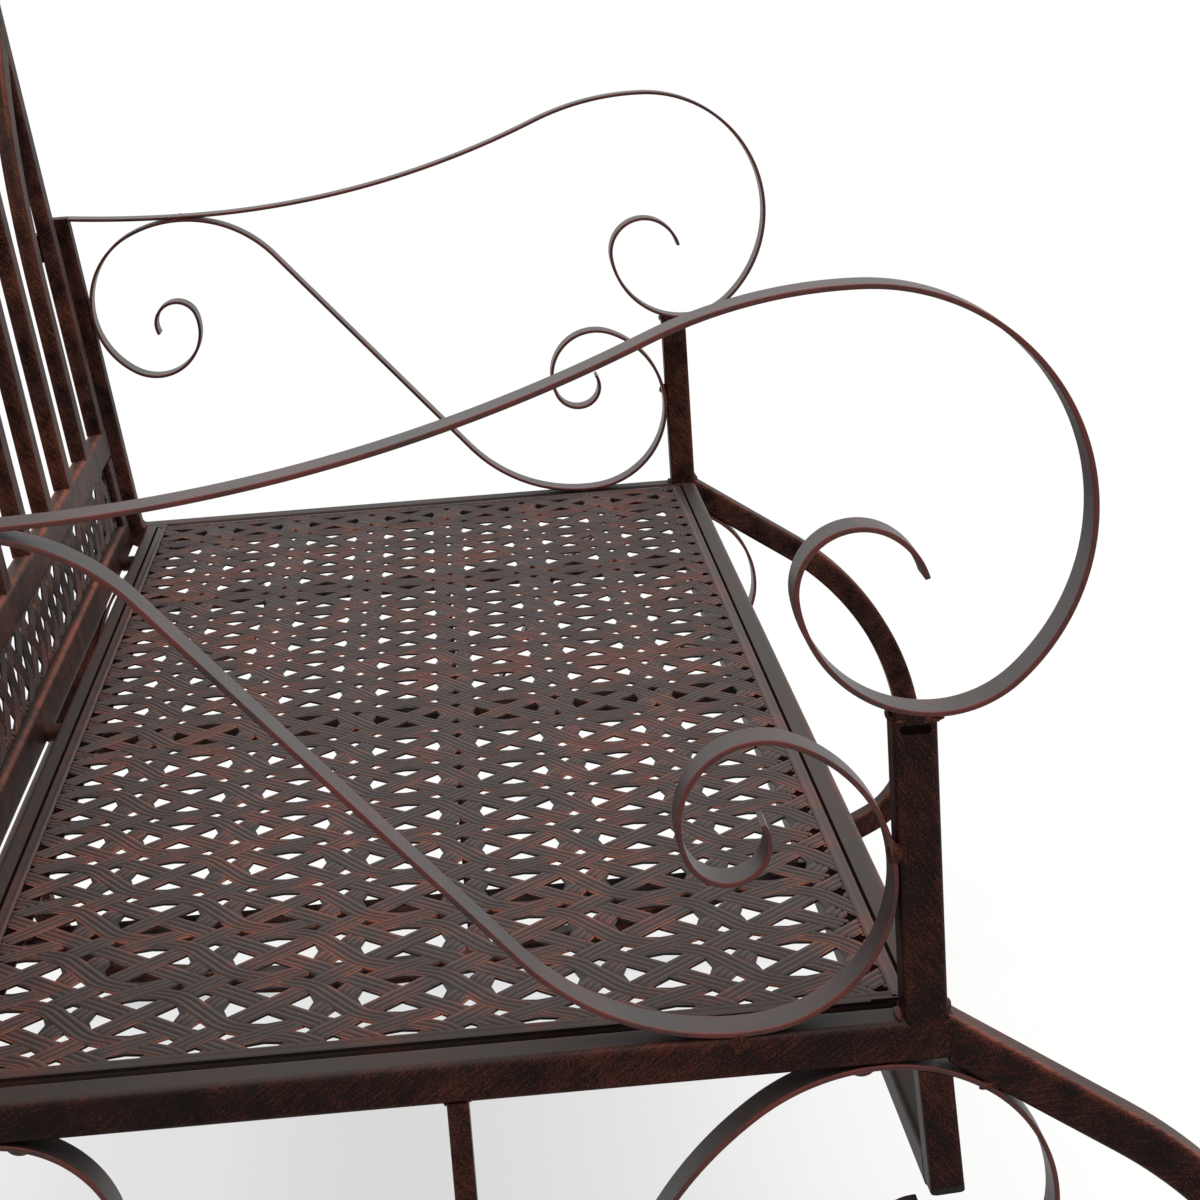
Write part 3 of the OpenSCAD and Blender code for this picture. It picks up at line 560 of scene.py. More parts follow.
# The straps of one family as grids: along the strap by across it. Height across is a low crown with
# cosine ridges, and falls to the sheet's own thickness at the edges and under a strap that passes over
def strapFamily(family, halfX, halfY, offX, offY):
    reach = halfX + halfY + 4 * weave["tile"]
    lineCount = int(reach / pitch) + 2
    wide = strapHalf[family]
    step = weave["waveStep"] if "wave" in family else weave["straightStep"]
    s = np.arange(-reach * weave["span"], reach * weave["span"], step)
    cols = np.linspace(-1, 1, weave["acrossSteps"] * weave["ridges"] + 1)
    cols = np.concatenate([[-1.0], cols, [1.0]])
    shape = weave["rise"] + weave["ridge"] * np.cos(np.pi * weave["ridges"] * cols)
    shape = shape * (1 - weave["droop"] * np.abs(cols) ** weave["droopPower"])
    ridge = 0.5 + 0.5 * np.cos(np.pi * weave["ridges"] * cols)
    shape[[0, -1]] = -weave["sink"]
    rim = smooth(weave["rimFrom"], 1.0, np.abs(cols))
    allVerts, allQuads, allUv, allHigh, allRim, base = [], [], [], [], [], 0
    for k in range(-lineCount, lineCount + 1):
        if "wave" in family:
            line = (k + 0.5) * pitch + (waveOff(s, k) if family == "waveUp" else -waveOff(-s, -k - 1))
            turn = np.gradient(line, s)
        else:
            line, turn = np.full_like(s, k * pitch), np.zeros_like(s)
        slant = np.sqrt(1 + turn ** 2)
        along = s[:, None] - (turn / slant)[:, None] * cols * wide
        aside = line[:, None] + (1 / slant)[:, None] * cols * wide
        if family in ("up", "waveUp"):
            x, y = (along - aside) * halfRoot, (along + aside) * halfRoot
        else:
            x, y = (aside - along) * halfRoot, (aside + along) * halfRoot
        low = np.zeros_like(x)
        for other in over[family]:
            near = 1 - smooth(strapHalf[other] - weave["dipBefore"], strapHalf[other] + weave["dipAfter"],
                              strapGap(x, y, other))
            if "wave" in family and "wave" in other:
                fx, fy = (np.abs(c / weave["tile"] - np.round(c / weave["tile"])) for c in (x, y))
                topOrFoot = fx < fy
                near = near * (topOrFoot if family == "waveDown" else ~topOrFoot)
            low = np.maximum(low, near)
        z = shape * (1 - low) - weave["sink"] * low
        wx, wy = x + offX, y + offY
        outside = (np.abs(wx) > halfX) | (np.abs(wy) > halfY)
        z = np.where(outside, -weave["sink"], z)
        verts = np.stack([np.clip(wx, -halfX, halfX), np.clip(wy, -halfY, halfY), z], -1)
        quads, uv = gridFaces(len(s), len(cols), s, cols * wide, wrap=False,
                              flip=family in ("down", "waveDown"))
        hidden = (outside | (low > weave["buried"])).ravel()
        show = ~hidden[quads].all(axis=1)
        if show.any():
            allVerts.append(verts.reshape(-1, 3))
            allQuads.append(quads[show] + base)
            allUv.append(uv[show])
            # high gives the ridges their painted grey sheen and leaves grooves and dips under crossing
            # straps dark as painted shade
            allHigh.append((ridge * (1 - low)).ravel())
            # rim gives the straps' edges their copper, partly copper rub and partly a painted glint
            allRim.append((rim * (1 - low)).ravel())
            base += verts[..., 0].size
    verts, quads = np.concatenate(allVerts), np.concatenate(allQuads)
    used, inverse = np.unique(quads, return_inverse=True)
    marks = {"high": np.concatenate(allHigh)[used], "rim": np.concatenate(allRim)[used]}
    return verts[used], inverse.reshape(quads.shape), np.concatenate(allUv), marks


# The four families of a sheet, laid on a plane; lift puts (x, y, height) of the sheet into the bench
def strapSheet(name, halfX, halfY, offX, offY, lift):
    for family in over:
        verts, quads, uv, marks = strapFamily(family, halfX, halfY, offX, offY)
        piece = addPiece(f"{name}_{family}", lift(verts), quads, (), uv, marks, sharp=60)
        print(piece.name, len(quads) * 2, "triangles")


# The seat's sheet lies between the side rails and laps over the front and back ones, which stay bare for
# a few millimetres. Its openings end before them, and what is left of it there is closed
panel = {"sideGap": 7, "bareFront": 12.5, "bareBack": 10, "openFrom": 31, "shadowLine": 0.2, "lift": 0.03,
         "corner": 3.5,
         # the rim's painted grey sheen at its least and what its height adds, and the copper where it stands
         # highest, which is partly a painted glint
         "least": 0.3, "more": 0.35, "copper": 0.25, "highest": 0.9,
         # the rim's profile: how far inwards, how high, and how much of the painted grey sheen lies there;
         # where little lies, its near black stands as painted shade
         "profile": [(9.0, -0.6, 0), (8.7, 0.1, 0.3), (8.0, 0.75, 0.8), (7.1, 0.95, 1), (6.3, 0.75, 0.8),
                     (5.7, 0.3, 0.4), (5.0, 0.15, 0.4), (3.4, 0.15, 0.5), (2.0, 0.1, 0.7), (1.0, -0.2, 1),
                     (0.3, -0.9, 0.8), (-0.05, -1.9, 0.4), (-0.1, -4.5, 0.2), (-0.1, -9, 0)]}
panelX = innerHalf - panel["sideGap"]
panelY = (bench["seatDepth"] - panel["bareFront"] - panel["bareBack"]) / 2
panelShift = (panel["bareFront"] - panel["bareBack"]) / 2
seatMiddle = np.array([0, bench["frontY"] + bench["seatDepth"] / 2 + panelShift, bench["seatTop"]])
strapSheet("seatStraps", panelX - weave["edge"], panelY - weave["edge"], weave["offX"],
           weave["offY"] - panelShift, lambda v: v + seatMiddle)
bandHalfX = backX - bench["slat"] - 1
bandMiddle = back["bandLow"] + bench["slat"] + back["bandHeight"] / 2
bandDeep = bench["slatThick"] / 2 - 0.6   # front face of the band's sheet, which is 1.2 mm thick
strapSheet("bandStraps", bandHalfX, back["bandHeight"] / 2 - 1, 0, 0,
           lambda v: backPoints(v[:, 0], bandDeep - v[:, 2], bandMiddle + v[:, 1]))


# The seat's plain rim: a profile (inwards, height) carried round a rectangle with rounded corners. A low
# bead is pressed along its inner side, and its outer side rolls over and down
def seatRim():
    profile, high = np.split(np.array(panel["profile"]), [2], axis=1)
    radius, spots, headings = panel["corner"], [], []
    for turn, sx, sy in corners:
        angle = rad(turn + np.linspace(0, 90, 7))
        centre = np.array([sx * (panelX - radius), sy * (panelY - radius)])
        spots.append(centre + radius * np.stack([np.cos(angle), np.sin(angle)], 1))
        headings.append(np.stack([np.cos(angle), np.sin(angle)], 1))
    spots, outward = np.concatenate(spots), np.concatenate(headings)
    corner = spots[:, None] - outward[:, None] * profile[None, :, :1]
    verts = np.concatenate([corner, np.broadcast_to(profile[:, 1:], corner.shape[:2] + (1,))], -1)
    verts = np.concatenate([verts, verts[:1]])
    quads, uv = gridFaces(len(verts), len(profile), runLength(verts[:, 0, :2]), profile[:, 0],
                          wrap=False, flip=True)
    high = np.tile(high[:, 0], len(verts))
    # high gives the rim its painted grey sheen, near black as painted shade where it rolls down; rim its
    # copper glint
    piece = addPiece("seatRim", verts.reshape(-1, 3) + seatMiddle, quads, (), uv,
                     {"high": panel["least"] + panel["more"] * high,
                      "rim": panel["copper"] * (high > panel["highest"])}, sharp=50)


# The closed margin under the straps: one flat strip along the front and one along the back, from the first
# openings to just outside the rim. It takes the painted shade, nearly black, for the shaded rail seen
# through the openings near the edge and for the shadow line between sheet and rail
def seatMargin(name, uFrom, uTo):
    x = np.linspace(-panelX, panelX, 41)
    u = np.linspace(uFrom, uTo, 4)
    places = np.stack(np.broadcast_arrays(x[:, None], bench["frontY"] + u[None, :],
                                          bench["seatTop"] + panel["lift"]), -1)
    quads, uv = gridFaces(len(x), len(u), x + panelX, u, wrap=False, flip=True)
    addPiece(name, places.reshape(-1, 3), quads, (), uv)


seatRim()
seatMargin("seatMarginFront", panel["bareFront"] - panel["shadowLine"], panel["openFrom"])
seatMargin("seatMarginBack", bench["seatDepth"] - panel["openFrom"],
           bench["seatDepth"] - panel["bareBack"] + panel["shadowLine"])
print("strapwork done")

# The weld beads: how lumpy, how far they may stand out and how much a bead's lumps swell it, the rows and
# columns of each, and the copper on them, which comes and goes
weld = {"lump": 0.15, "proud": 1.2, "swell": 1.12, "rows": 13, "cols": 20, "rub": 0.55, "patchy": 0.25}


# One bead: a ball whose radius swells and shrinks in a few sine waves, squashed to its own size
def weldBead(place, size, seed):
    rows, cols = weld["rows"], weld["cols"]
    a, b = np.meshgrid(np.linspace(0.02, np.pi - 0.02, rows),
                       np.linspace(0, 2 * np.pi, cols, endpoint=False), indexing="ij")
    way = np.stack([np.sin(a) * np.cos(b), np.sin(a) * np.sin(b), np.cos(a)], -1)
    swell = 1 + weld["lump"] * (np.sin(3 * way[..., 0] + seed) * np.cos(4 * way[..., 1] - 2 * seed)
                                + 0.7 * np.sin(5 * way[..., 2] + 3 * way[..., 1] + seed * 1.7))
    verts = np.array(place) + way * swell[..., None] * np.array(size)
    quads, uv = gridFaces(rows, cols, a[:, 0] * max(size), np.append(b[0], 2 * np.pi) * max(size))
    ends = [list(range(cols))[::-1], [(rows - 1) * cols + k for k in range(cols)]]
    return verts.reshape(-1, 3), quads, uv, ends


# The beads where two bars of a side frame touch, as a place (u, v, outwards from the bar's middle) and a
# size (along u, along v, outwards)
def sideWelds():
    outer = halfTube
    front = scrollPlaces[np.argmin(scrollPlaces[:, 0] + 1e3 * (scrollPlaces[:, 0] > 60))]
    lean = scrollPlaces @ np.array([np.cos(leanAngle), -np.sin(leanAngle)])
    rear = scrollPlaces[np.argmax(lean)]
    kiss = frontCrown + under["root"] * np.array([-np.sin(slope), np.cos(slope) - 1])
    kissWay = np.array([-np.sin(slope), np.cos(slope)]) * half
    beads = [((scrollLow[0], -3.4, outer - 1.6), (6.0, 5.4, 2.4)),
             ((scrollLow[0] + 1, -0.4, 0), (9, 1.8, 9.4)),
             ((bench["tube"] + 0.6, front[1] + 9, outer - 2.2), (3.6, 5.2, 3.0)),
             ((bench["tube"] + 0.6, front[1] + 4, 0), (1.9, 8, 9)),
             ((scrollTop[0], scrollTop[1] + half, outer - 2), (5.0, 2.6, 2.2)),
             ((scrollTop[0], scrollTop[1] + half, 0), (9, 1.3, 9)),
             ((rear[0] + 1.2, rear[1], outer - 2.2), (2.4, 5.0, 2.7)),
             ((kiss[0] + kissWay[0], kiss[1] + kissWay[1], outer - 2), (4.6, 2.6, 2.2)),
             ((4, arm["low"] - 2.4, outer - 1.6), (6.6, 1.7, 2.0)),
             ((15, arm["low"] - 2.0, outer - 1.6), (4.6, 1.5, 2.0)),
             ((bench["tube"] + 0.2, arm["low"] - 0.6, 1), (1.7, 2.4, 8.6)),
             ((0.3, arm["low"] - 2.2, 1), (1.6, 2.2, 8.6)),
             ((0.4, 1.5, 0), (3.4, 4.2, 9.2)), ((1.0, -12, 1), (2.6, 6.4, 8.6)),
             ((bench["tube"] + 0.8, 0.4, 1), (2.6, 1.7, 8.2)),
             ((strutFace + half, -bench["tube"] + 0.2, 0), (2.1, 1.8, 9.2)),
             ((under["strut"] + under["strutWide"] / 2 + 0.6, -bench["tube"] + 0.2, 0), (2.1, 1.8, 9.2)),
             ((stub["u"] + stub["deep"] / 2, stubTop[1] - 1.2, 0), (2.2, 1.8, 8.6)),
             ((rearCrown[0] + 24, -bench["tube"] - 0.6, 0), (3.0, 1.5, 9.0))]
    for side, sign in sides.items():
        verts, quads, uv, ends, base = [], [], [], [], 0
        for count, ((u, v, outwards), (du, dv, dOut)) in enumerate(beads):
            outwards = min(outwards, outer + weld["proud"] - dOut * weld["swell"])
            spot = (sign * (sidePlane + outwards), bench["frontY"] + u, bench["seatTop"] + v)
            points, faces, places, caps = weldBead(spot, (dOut, du, dv), count * 1.3 + sign)
            verts.append(points)
            quads.append(faces + base)
            uv.append(places)
            ends += [[k + base for k in cap] for cap in caps]
            base += len(points)
        verts = np.concatenate(verts)
        rub = weld["rub"] + weld["patchy"] * np.sin(verts[:, 1] * 0.9) * np.cos(verts[:, 2] * 1.1)
        piece = addPiece(f"welds_{side}", verts, np.concatenate(quads), ends, np.concatenate(uv),
                         {"rub": rub}, sharp=80)


sideWelds()


# The slot near the top of each front post: a flat shape whose ends are half circles, set into the face and
# standing a hair proud of it. It takes the painted shade, nearly black, for the dark hollow behind it
slot = {"length": 14, "tall": 4.2, "down": 6, "deep": 0.6, "proud": 0.04}


def postSlot(side, sign):
    length, tall = slot["length"] / 2, slot["tall"] / 2
    angle = np.linspace(-90, 90, 9)
    ends = [sx * (length - tall) + sx * tall * np.cos(rad(angle)) for sx in (1, -1)]
    u = np.concatenate(ends) + halfTube
    v = tall * np.concatenate([np.sin(rad(angle)), -np.sin(rad(angle))]) + arm["low"] - slot["down"]
    out = [np.full(len(u), sign * (sidePlane + halfTube + d)) for d in (-slot["deep"], slot["proud"])]
    verts = np.concatenate([np.stack([x, bench["frontY"] + u, bench["seatTop"] + v], 1) for x in out])
    count = len(u)
    quads, uv = gridFaces(2, count, np.array([0, slot["deep"]]), np.arange(count + 1) * 0.7,
                          flip=sign > 0)
    cap = list(range(count, 2 * count))
    piece = addPiece(f"post_slot_{side}", verts, quads, [cap if sign > 0 else cap[::-1]], uv)


for side, sign in sides.items():
    postSlot(side, sign)
print("welds and slots done")


# A colour written as sRGB hex, turned linear
def linear(code):
    value = np.array([int(code[i:i + 2], 16) for i in (1, 3, 5)]) / 255
    value = np.where(value <= 0.04045, value / 12.92, ((value + 0.055) / 1.055) ** 2.4)
    return (*value.tolist(), 1.0)


# Adds a node, makes its own settings, then sets its inputs or links what is given as a socket
def node(tree, kind, inputs=None, **settings):
    made = tree.nodes.new(kind)
    for key, value in settings.items():
        setattr(made, key, value)
    for key, value in (inputs or {}).items():
        socket = made.inputs[key]
        if isinstance(value, bpy.types.NodeSocket):
            tree.links.new(value, socket)
        else:
            socket.default_value = value
    return made


# A material with nothing in its tree yet
def newTree(name):
    material = bpy.data.materials.new(name)
    material.use_nodes = True
    material.node_tree.nodes.clear()
    return material, material.node_tree


# Sizes of the finish in metres: clouds of thicker and thinner copper, the brush's own strokes (long by
# wide, with their slant in radians), and the grit of the dry brush, drawn at 0.9 mm because the real
# 0.3 mm is too fine to show
grain = {"cloud": 0.09, "patch": 0.02, "strokeLong": 0.016, "strokeWide": 0.0012, "strokeTurn": 0.62,
         "grit": 0.0009, "bump": 0.00018, "sheetCloud": 0.0909, "sheetPatch": 0.02381}
# How much each of them counts towards the copper that the brush leaves, which patches show the paler
# ground, and how the satin varies about its roughness
brush = {"cloud": 0.9, "base": -0.45, "patch": 0.55, "stroke": 0.75, "grit": 1.5, "groundFrom": 0.35,
         "groundTo": 0.68, "smoother": 0.06, "rougher": 0.12, "bumpStrength": 0.5}


# The start of both enamel finishes: the place on the object, moved by a seed that gives a finish its own
# clouds, and three noises of it, which are the clouds, the patches and the grit
def enamelStart(name, seed, cloudSize, patchSize):
    material, tree = newTree(name)
    place = node(tree, "ShaderNodeTexCoord").outputs["Object"]
    place = node(tree, "ShaderNodeMapping",
                 {"Vector": place, "Location": (seed, seed * 0.7, seed * 1.3)}).outputs[0]
    noises = []
    for size, detail, roughness in ((cloudSize, 4.0, 0.6), (patchSize, 3.0, 0.6), (grain["grit"], 2.0, 0.7)):
        noises.append(node(tree, "ShaderNodeTexNoise", {"Vector": place, "Scale": 1 / size, "Detail": detail,
                                                        "Roughness": roughness}).outputs[0])
    return material, tree, *noises


# Their end: the grit makes the satin uneven, and the height given stands as a fine bump
def enamelEnd(tree, look, colour, grit, height):
    rough = node(tree, "ShaderNodeMapRange", {"Value": grit, "To Min": look["rough"] - brush["smoother"],
                                              "To Max": look["rough"] + brush["rougher"]}).outputs[0]
    bump = node(tree, "ShaderNodeBump", {"Height": height, "Distance": grain["bump"],
                                         "Strength": brush["bumpStrength"]}).outputs[0]
    shader = node(tree, "ShaderNodeBsdfPrincipled", {"Base Color": colour, "Roughness": rough,
                                                     "Normal": bump, "Specular IOR Level": look["shine"]})
    node(tree, "ShaderNodeOutputMaterial", {"Surface": shader.outputs[0]})


# Dry-brushed antique bronze: black-brown baked enamel on steel, with copper paint dragged over it by a
# nearly dry brush. It gives the eye a dark satin ground, a dense fine copper speckle that thins and
# thickens in clouds and slanting strokes, and bright red-copper lines where the brush hits an edge
def dryBrushedBronze(name, look, seed):
    material, tree, clouds, patches, grit = enamelStart(name, seed, grain["cloud"], grain["patch"])
    surface = node(tree, "ShaderNodeUVMap", uv_map="surface").outputs[0]
    stroke = node(tree, "ShaderNodeMapping", {"Vector": surface, "Rotation": (0, 0, grain["strokeTurn"]),
                                              "Scale": (grain["strokeLong"], grain["strokeWide"], 1)},
                  vector_type="TEXTURE").outputs[0]
    strokes = node(tree, "ShaderNodeTexNoise", {"Vector": stroke, "Scale": 1.0, "Detail": 2.0}).outputs[0]
    edge = node(tree, "ShaderNodeAttribute", attribute_name="rub").outputs["Fac"]
    top = node(tree, "ShaderNodeAttribute", attribute_name="top").outputs["Fac"]
    # how thick the brush leaves its copper here, then which grains of it catch
    thick = brush["base"]
    for part, amount in ((clouds, brush["cloud"]), (patches, brush["patch"]), (strokes, brush["stroke"]),
                         (edge, look["edge"]), (top, look["top"])):
        thick = node(tree, "ShaderNodeMath", {0: part, 1: amount, 2: thick},
                     operation="MULTIPLY_ADD").outputs[0]
    caught = node(tree, "ShaderNodeMath", {0: grit, 1: brush["grit"], 2: thick},
                  operation="MULTIPLY_ADD").outputs[0]
    speckle = node(tree, "ShaderNodeMapRange", {"Value": caught, "From Min": look["from"],
                                                "From Max": look["to"]},
                   interpolation_type="SMOOTHSTEP").outputs[0]
    line = node(tree, "ShaderNodeMath", {0: edge, 1: thick}, operation="MULTIPLY").outputs[0]
    line = node(tree, "ShaderNodeMapRange", {"Value": line, "From Min": look["lineFrom"],
                                             "From Max": look["lineTo"]},
                interpolation_type="SMOOTHSTEP").outputs[0]
    body = node(tree, "ShaderNodeMapRange", {"Value": patches, "From Min": brush["groundFrom"],
                                             "From Max": brush["groundTo"]}).outputs[0]
    # Painted sheen: grey laid on the faces that look up, in place of the reflection of a bright sky
    paintedSheen = node(tree, "ShaderNodeMath", {0: top, 1: look["topSheen"]}, operation="MULTIPLY").outputs[0]
    # enamel, then the painted grey sheen on its upper faces, which stands in for the reflection of a bright
    # sky, the speckle, and the lines along the edges
    colour = linear(look["dark"])
    for amount, shade in ((body, "body"), (paintedSheen, "greySheen"), (speckle, "copper"), (line, "bright")):
        colour = node(tree, "ShaderNodeMix", {0: amount, 6: colour, 7: linear(look[shade])},
                      data_type="RGBA").outputs[2]
    enamelEnd(tree, look, colour, grit, caught)
    return material


# The same enamel on the pressed sheet. Its straps' ridges are grey-brown, partly their own colour and partly
# a painted sheen for the reflection of a bright sky; the grooves and the dips under crossing straps are near
# black, partly dark enamel and partly painted shade. It also gives reddish clouds a hand wide, and copper
# glints at the holes
def rubbedStrapwork(name, look, seed):
    material, tree, clouds, patches, grit = enamelStart(name, seed, grain["sheetCloud"],
                                                        grain["sheetPatch"])
    high = node(tree, "ShaderNodeAttribute", attribute_name="high").outputs["Fac"]
    rim = node(tree, "ShaderNodeAttribute", attribute_name="rim").outputs["Fac"]
    # lift runs from the grooves' near black, partly painted shade, to the ridges' grey, partly painted sheen
    lift = node(tree, "ShaderNodeMath", {0: grit, 1: look["grit"], 2: high},
                operation="MULTIPLY_ADD").outputs[0]
    lift = node(tree, "ShaderNodeMapRange", {"Value": lift, "From Min": look["ridgeFrom"],
                                             "From Max": look["ridgeTo"]}).outputs[0]
    redder = node(tree, "ShaderNodeMath", {0: clouds, 1: patches}, operation="ADD").outputs[0]
    redder = node(tree, "ShaderNodeMapRange", {"Value": redder, "From Min": look["redFrom"],
                                               "From Max": look["redTo"]},
                  interpolation_type="SMOOTHSTEP").outputs[0]
    # The copper on the straps' edges: partly copper rub and partly a painted glint
    glint = node(tree, "ShaderNodeMath", {0: patches, 1: rim}, operation="MULTIPLY").outputs[0]
    glint = node(tree, "ShaderNodeMath", {0: redder, 1: look["redGlint"], 2: glint},
                 operation="MULTIPLY_ADD").outputs[0]
    glint = node(tree, "ShaderNodeMapRange", {"Value": glint, "From Min": look["glintFrom"],
                                              "From Max": look["glintTo"]},
                 interpolation_type="SMOOTHSTEP").outputs[0]
    greySheen = node(tree, "ShaderNodeMix", {0: redder, 6: linear(look["greySheen"]), 7: linear(look["red"])},
                 data_type="RGBA").outputs[2]
    ridges = node(tree, "ShaderNodeMix", {0: lift, 6: linear(look["grooveDarkAndShade"]), 7: greySheen},
                  data_type="RGBA").outputs[2]
    colour = node(tree, "ShaderNodeMix", {0: glint, 6: ridges, 7: linear(look["copper"])},
                  data_type="RGBA").outputs[2]
    enamelEnd(tree, look, colour, grit, grit)
    return material


# A plain finish without copper: a fine stain between two near blacks, and a bump where the look has one
def plainBlack(name, look):
    material, tree = newTree(name)
    place = node(tree, "ShaderNodeTexCoord").outputs["Object"]
    stain = node(tree, "ShaderNodeTexNoise", {"Vector": place, "Scale": 1 / look["size"],
                                              "Detail": 2.0}).outputs[0]
    colour = node(tree, "ShaderNodeMix", {0: stain, 6: linear(look["dark"]), 7: linear(look["pale"])},
                  data_type="RGBA").outputs[2]
    shader = node(tree, "ShaderNodeBsdfPrincipled", {"Base Color": colour, "Roughness": look["rough"],
                                                     "Specular IOR Level": look["shine"]})
    if "bump" in look:
        bump = node(tree, "ShaderNodeBump", {"Height": stain, "Distance": look["bump"],
                                             "Strength": look["strength"]}).outputs[0]
        tree.links.new(bump, shader.inputs["Normal"])
    node(tree, "ShaderNodeOutputMaterial", {"Surface": shader.outputs[0]})
    return material


# greySheen and topSheen give a painted sheen: grey laid on the upper faces for the reflection of a bright
# sky
tubeLook = {"dark": "#130c0a", "body": "#211412", "copper": "#66352b", "bright": "#85493a",
            "greySheen": "#423c38", "edge": 0.14, "top": -0.12, "topSheen": 0.75, "from": 1.3, "to": 1.95,
            "lineFrom": 0.72, "lineTo": 1.2, "rough": 0.42, "shine": 0.08}
backLook = dict(tubeLook, dark="#1a1110", body="#3d2b27", copper="#7c4536", bright="#995644",
                lineFrom=0.55, edge=0.26, shine=0.03)
# the copper lies thicker on the left rocker's sloping front, which faces the brush, and less of the painted
# grey sheen shows on it
rockerLook = dict(tubeLook, bright="#8f5343", topSheen=0.3, top=0.16, edge=0.2)
fittingLook = dict(tubeLook, body="#2e1c16", copper="#74402f", edge=0.3)
barLook = {"dark": "#272120", "body": "#383230", "copper": "#54241f", "bright": "#6f3028",
           "greySheen": "#4a4642", "edge": 0.3, "top": 0.0, "topSheen": 0.2, "from": 1.34, "to": 1.9,
           "lineFrom": 0.4, "lineTo": 0.85, "rough": 0.38, "shine": 0.3}
strapLook = {"grooveDarkAndShade": "#120e0c", "greySheen": "#4a3f3c", "red": "#66413a", "copper": "#a8664f",
             "grit": 0.9, "ridgeFrom": 0.2, "ridgeTo": 1.25, "redFrom": 0.94, "redTo": 1.24,
             "redGlint": 0.14, "glintFrom": 0.34, "glintTo": 0.5, "rough": 0.44, "shine": 0.14}
# Injection-moulded black polypropylene: a dull, faintly grained black without any copper on it
plugLook = {"size": 0.001111, "dark": "#141211", "pale": "#24201e", "rough": 0.55, "shine": 0.2,
            "bump": 0.0001, "strength": 0.4}
# Painted shade: a nearly black colour that stands in for the unlit inside of a tube seen through a slot, and
# for the shaded rail under the sheet's edge
paintedShadeLook = {"size": 0.003846, "dark": "#0f0908", "pale": "#1c1210", "rough": 0.8, "shine": 0.0}
tubeFinish = dryBrushedBronze("dryBrushedBronzeTube", tubeLook, 0.0)
backFinish = dryBrushedBronze("dryBrushedBronzeBack", backLook, 1.9)
rockerFinish = dryBrushedBronze("dryBrushedBronzeRocker", rockerLook, 0.0)
barFinish = dryBrushedBronze("dryBrushedBronzeBar", barLook, 3.1)
fittingFinish = dryBrushedBronze("dryBrushedBronzeFittings", fittingLook, 7.7)
strapFinish = rubbedStrapwork("rubbedStrapwork", strapLook, 5.7)
plugFinish = plainBlack("mouldedPlug", plugLook)
paintedShadeFinish = plainBlack("darkHollow", paintedShadeLook)

# The back's tubes, and two tubes of the right end, which take a lighter, redder copy of the finish with less
# shine
backFinishPieces = ("slat", "back_post", "band", "top_rail", "rear_upright", "rocker_right",
                 "front_post_right")


# Which finish a piece takes, from its name; the solids that still show are fittings, plugs and sheets
def finishOf(name):
    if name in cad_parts:
        solids = {"seat_panel": strapFinish, "band_panel": strapFinish, "stub_cap_left": plugFinish,
                  "stub_cap_right": plugFinish}
        return solids.get(name, fittingFinish)
    # Slots and the seat's margin strips take the painted shade
    if "slot" in name or "Margin" in name:
        return paintedShadeFinish
    if "welds" in name:
        return fittingFinish
    if "steel" not in name:
        return strapFinish
    if "arm_" in name or "scroll" in name:
        return barFinish
    if name.startswith("rocker_left"):
        return rockerFinish
    return backFinish if name.startswith(backFinishPieces) else tubeFinish


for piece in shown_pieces():
    piece.data.materials.clear()
    piece.data.materials.append(finishOf(piece.name))
print("finishes done")

# A plain pale floor. The floor and the world show white to the camera and in reflections, while what
# lights the bench stays at a plain level
stage = {"floor": "#b0b0ae", "floorHalf": 40, "floorGlow": 0.58, "worldFill": 0.25, "sun": 2.4,
         "sunAngle": 70, "sunTilt": (8, -6), "sunHeight": 3}


# 1 where a ray comes from the camera, a reflection or a transmission, and 0 where it lights the bench
def seenDirectly(tree):
    rays = node(tree, "ShaderNodeLightPath")
    seen = rays.outputs["Is Camera Ray"]
    for other in ("Is Glossy Ray", "Is Transmission Ray"):
        seen = node(tree, "ShaderNodeMath", {0: seen, 1: rays.outputs[other]},
                    operation="MAXIMUM").outputs[0]
    return seen


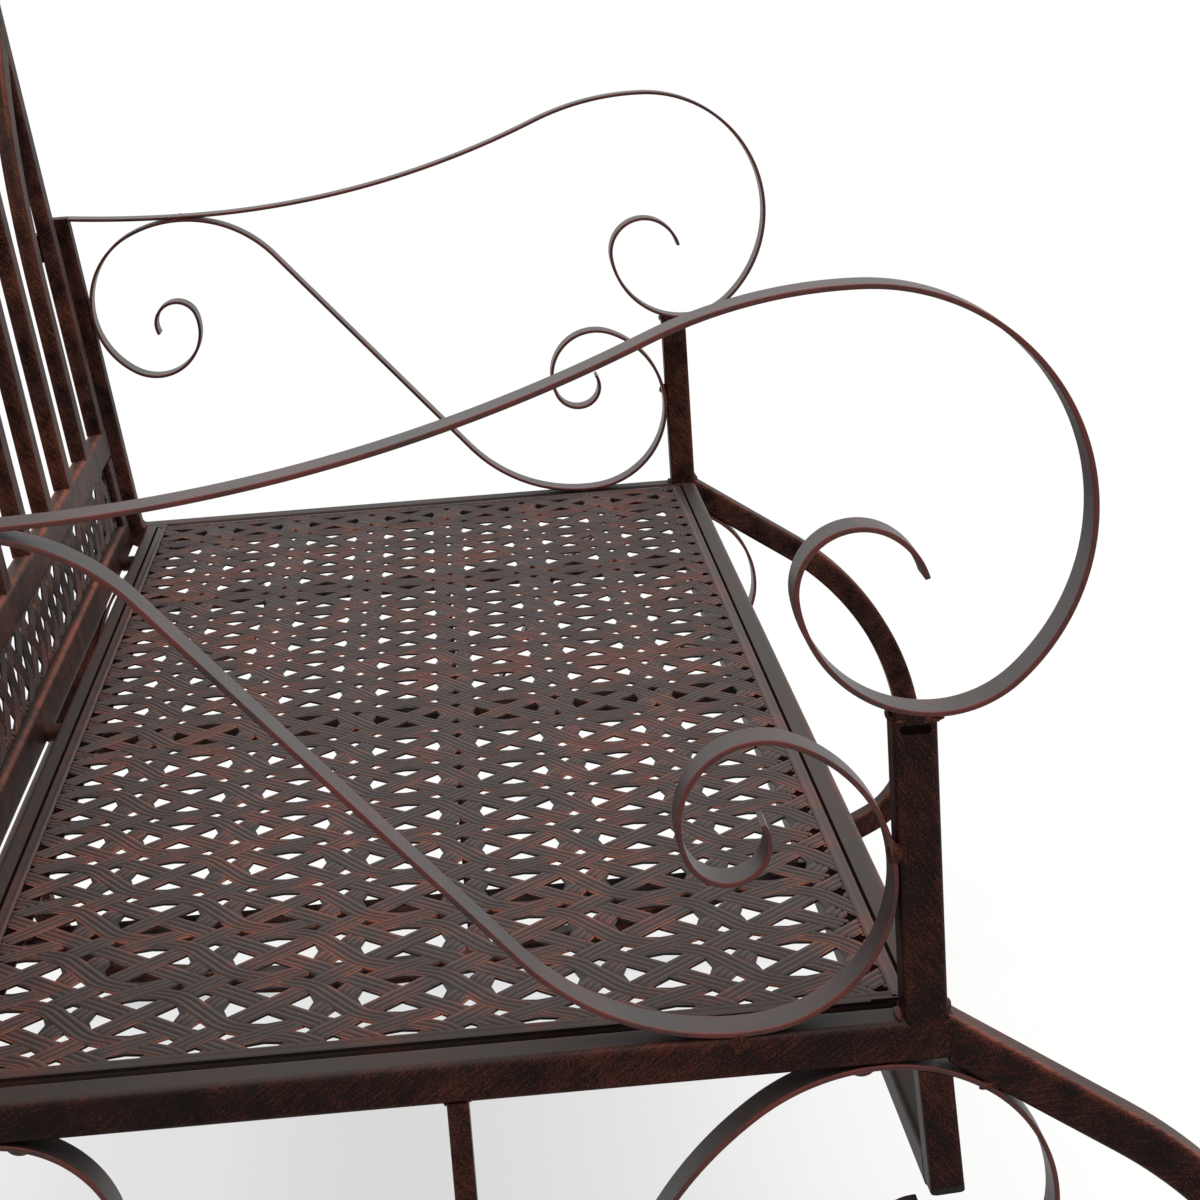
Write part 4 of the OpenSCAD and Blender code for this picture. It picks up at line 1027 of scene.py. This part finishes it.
scene = bpy.context.scene
floorMesh = bpy.data.meshes.new("floor")
reach = stage["floorHalf"]
floorMesh.from_pydata([(-reach, -reach, 0), (reach, -reach, 0), (reach, reach, 0), (-reach, reach, 0)],
                      [], [(0, 1, 2, 3)])
floor = bpy.data.objects.new("floor", floorMesh)
scene.collection.objects.link(floor)
paper, tree = newTree("paleFloor")
glowing = node(tree, "ShaderNodeMath", {0: seenDirectly(tree), 1: stage["floorGlow"]},
               operation="MULTIPLY").outputs[0]
matt = node(tree, "ShaderNodeBsdfDiffuse", {"Color": linear(stage["floor"])}).outputs[0]
glowShader = node(tree, "ShaderNodeEmission", {"Color": (1, 1, 1, 1), "Strength": glowing}).outputs[0]
both = node(tree, "ShaderNodeAddShader", {0: matt, 1: glowShader}).outputs[0]
node(tree, "ShaderNodeOutputMaterial", {"Surface": both})
floorMesh.materials.append(paper)

world = bpy.data.worlds.new("studio")
scene.world = world
world.use_nodes = True
tree = world.node_tree
tree.nodes.clear()
level = node(tree, "ShaderNodeMapRange", {"Value": seenDirectly(tree), "To Min": stage["worldFill"],
                                          "To Max": 1.0}).outputs[0]
sky = node(tree, "ShaderNodeBackground", {"Color": (1, 1, 1, 1), "Strength": level}).outputs[0]
node(tree, "ShaderNodeOutputWorld", {"Surface": sky})

# One wide soft light from above, as even over the floor as over the bench
lamp = bpy.data.lights.new("softOverhead", "SUN")
lamp.energy, lamp.angle = stage["sun"], rad(stage["sunAngle"])
overhead = bpy.data.objects.new("softOverhead", lamp)
scene.collection.objects.link(overhead)
overhead.location = (0, 0, stage["sunHeight"])
overhead.rotation_euler = [rad(a) for a in stage["sunTilt"]] + [0]

# Where the photograph was taken from, and the camera's axes in the bench's frame
view = {"lens": 80.42, "sensor": 36, "place": (-1.688, -0.016, 0.942), "right": (-0.0654, -0.9956, -0.0672),
        "down": (-0.2530, 0.0817, -0.9640), "ahead": (0.9652, -0.0460, -0.2572)}
lens = bpy.data.cameras.new("photoView")
lens.lens, lens.sensor_width, lens.clip_start, lens.clip_end = view["lens"], view["sensor"], 0.02, 200
camera = bpy.data.objects.new("photoView", lens)
scene.collection.objects.link(camera)
turn = Matrix((view["right"], -Vector(view["down"]), -Vector(view["ahead"]))).transposed()
camera.matrix_world = Matrix.Translation(view["place"]) @ turn.to_quaternion().to_matrix().to_4x4()
scene.camera = camera
scene.view_settings.view_transform = "Standard"
print("stage, light and camera done")
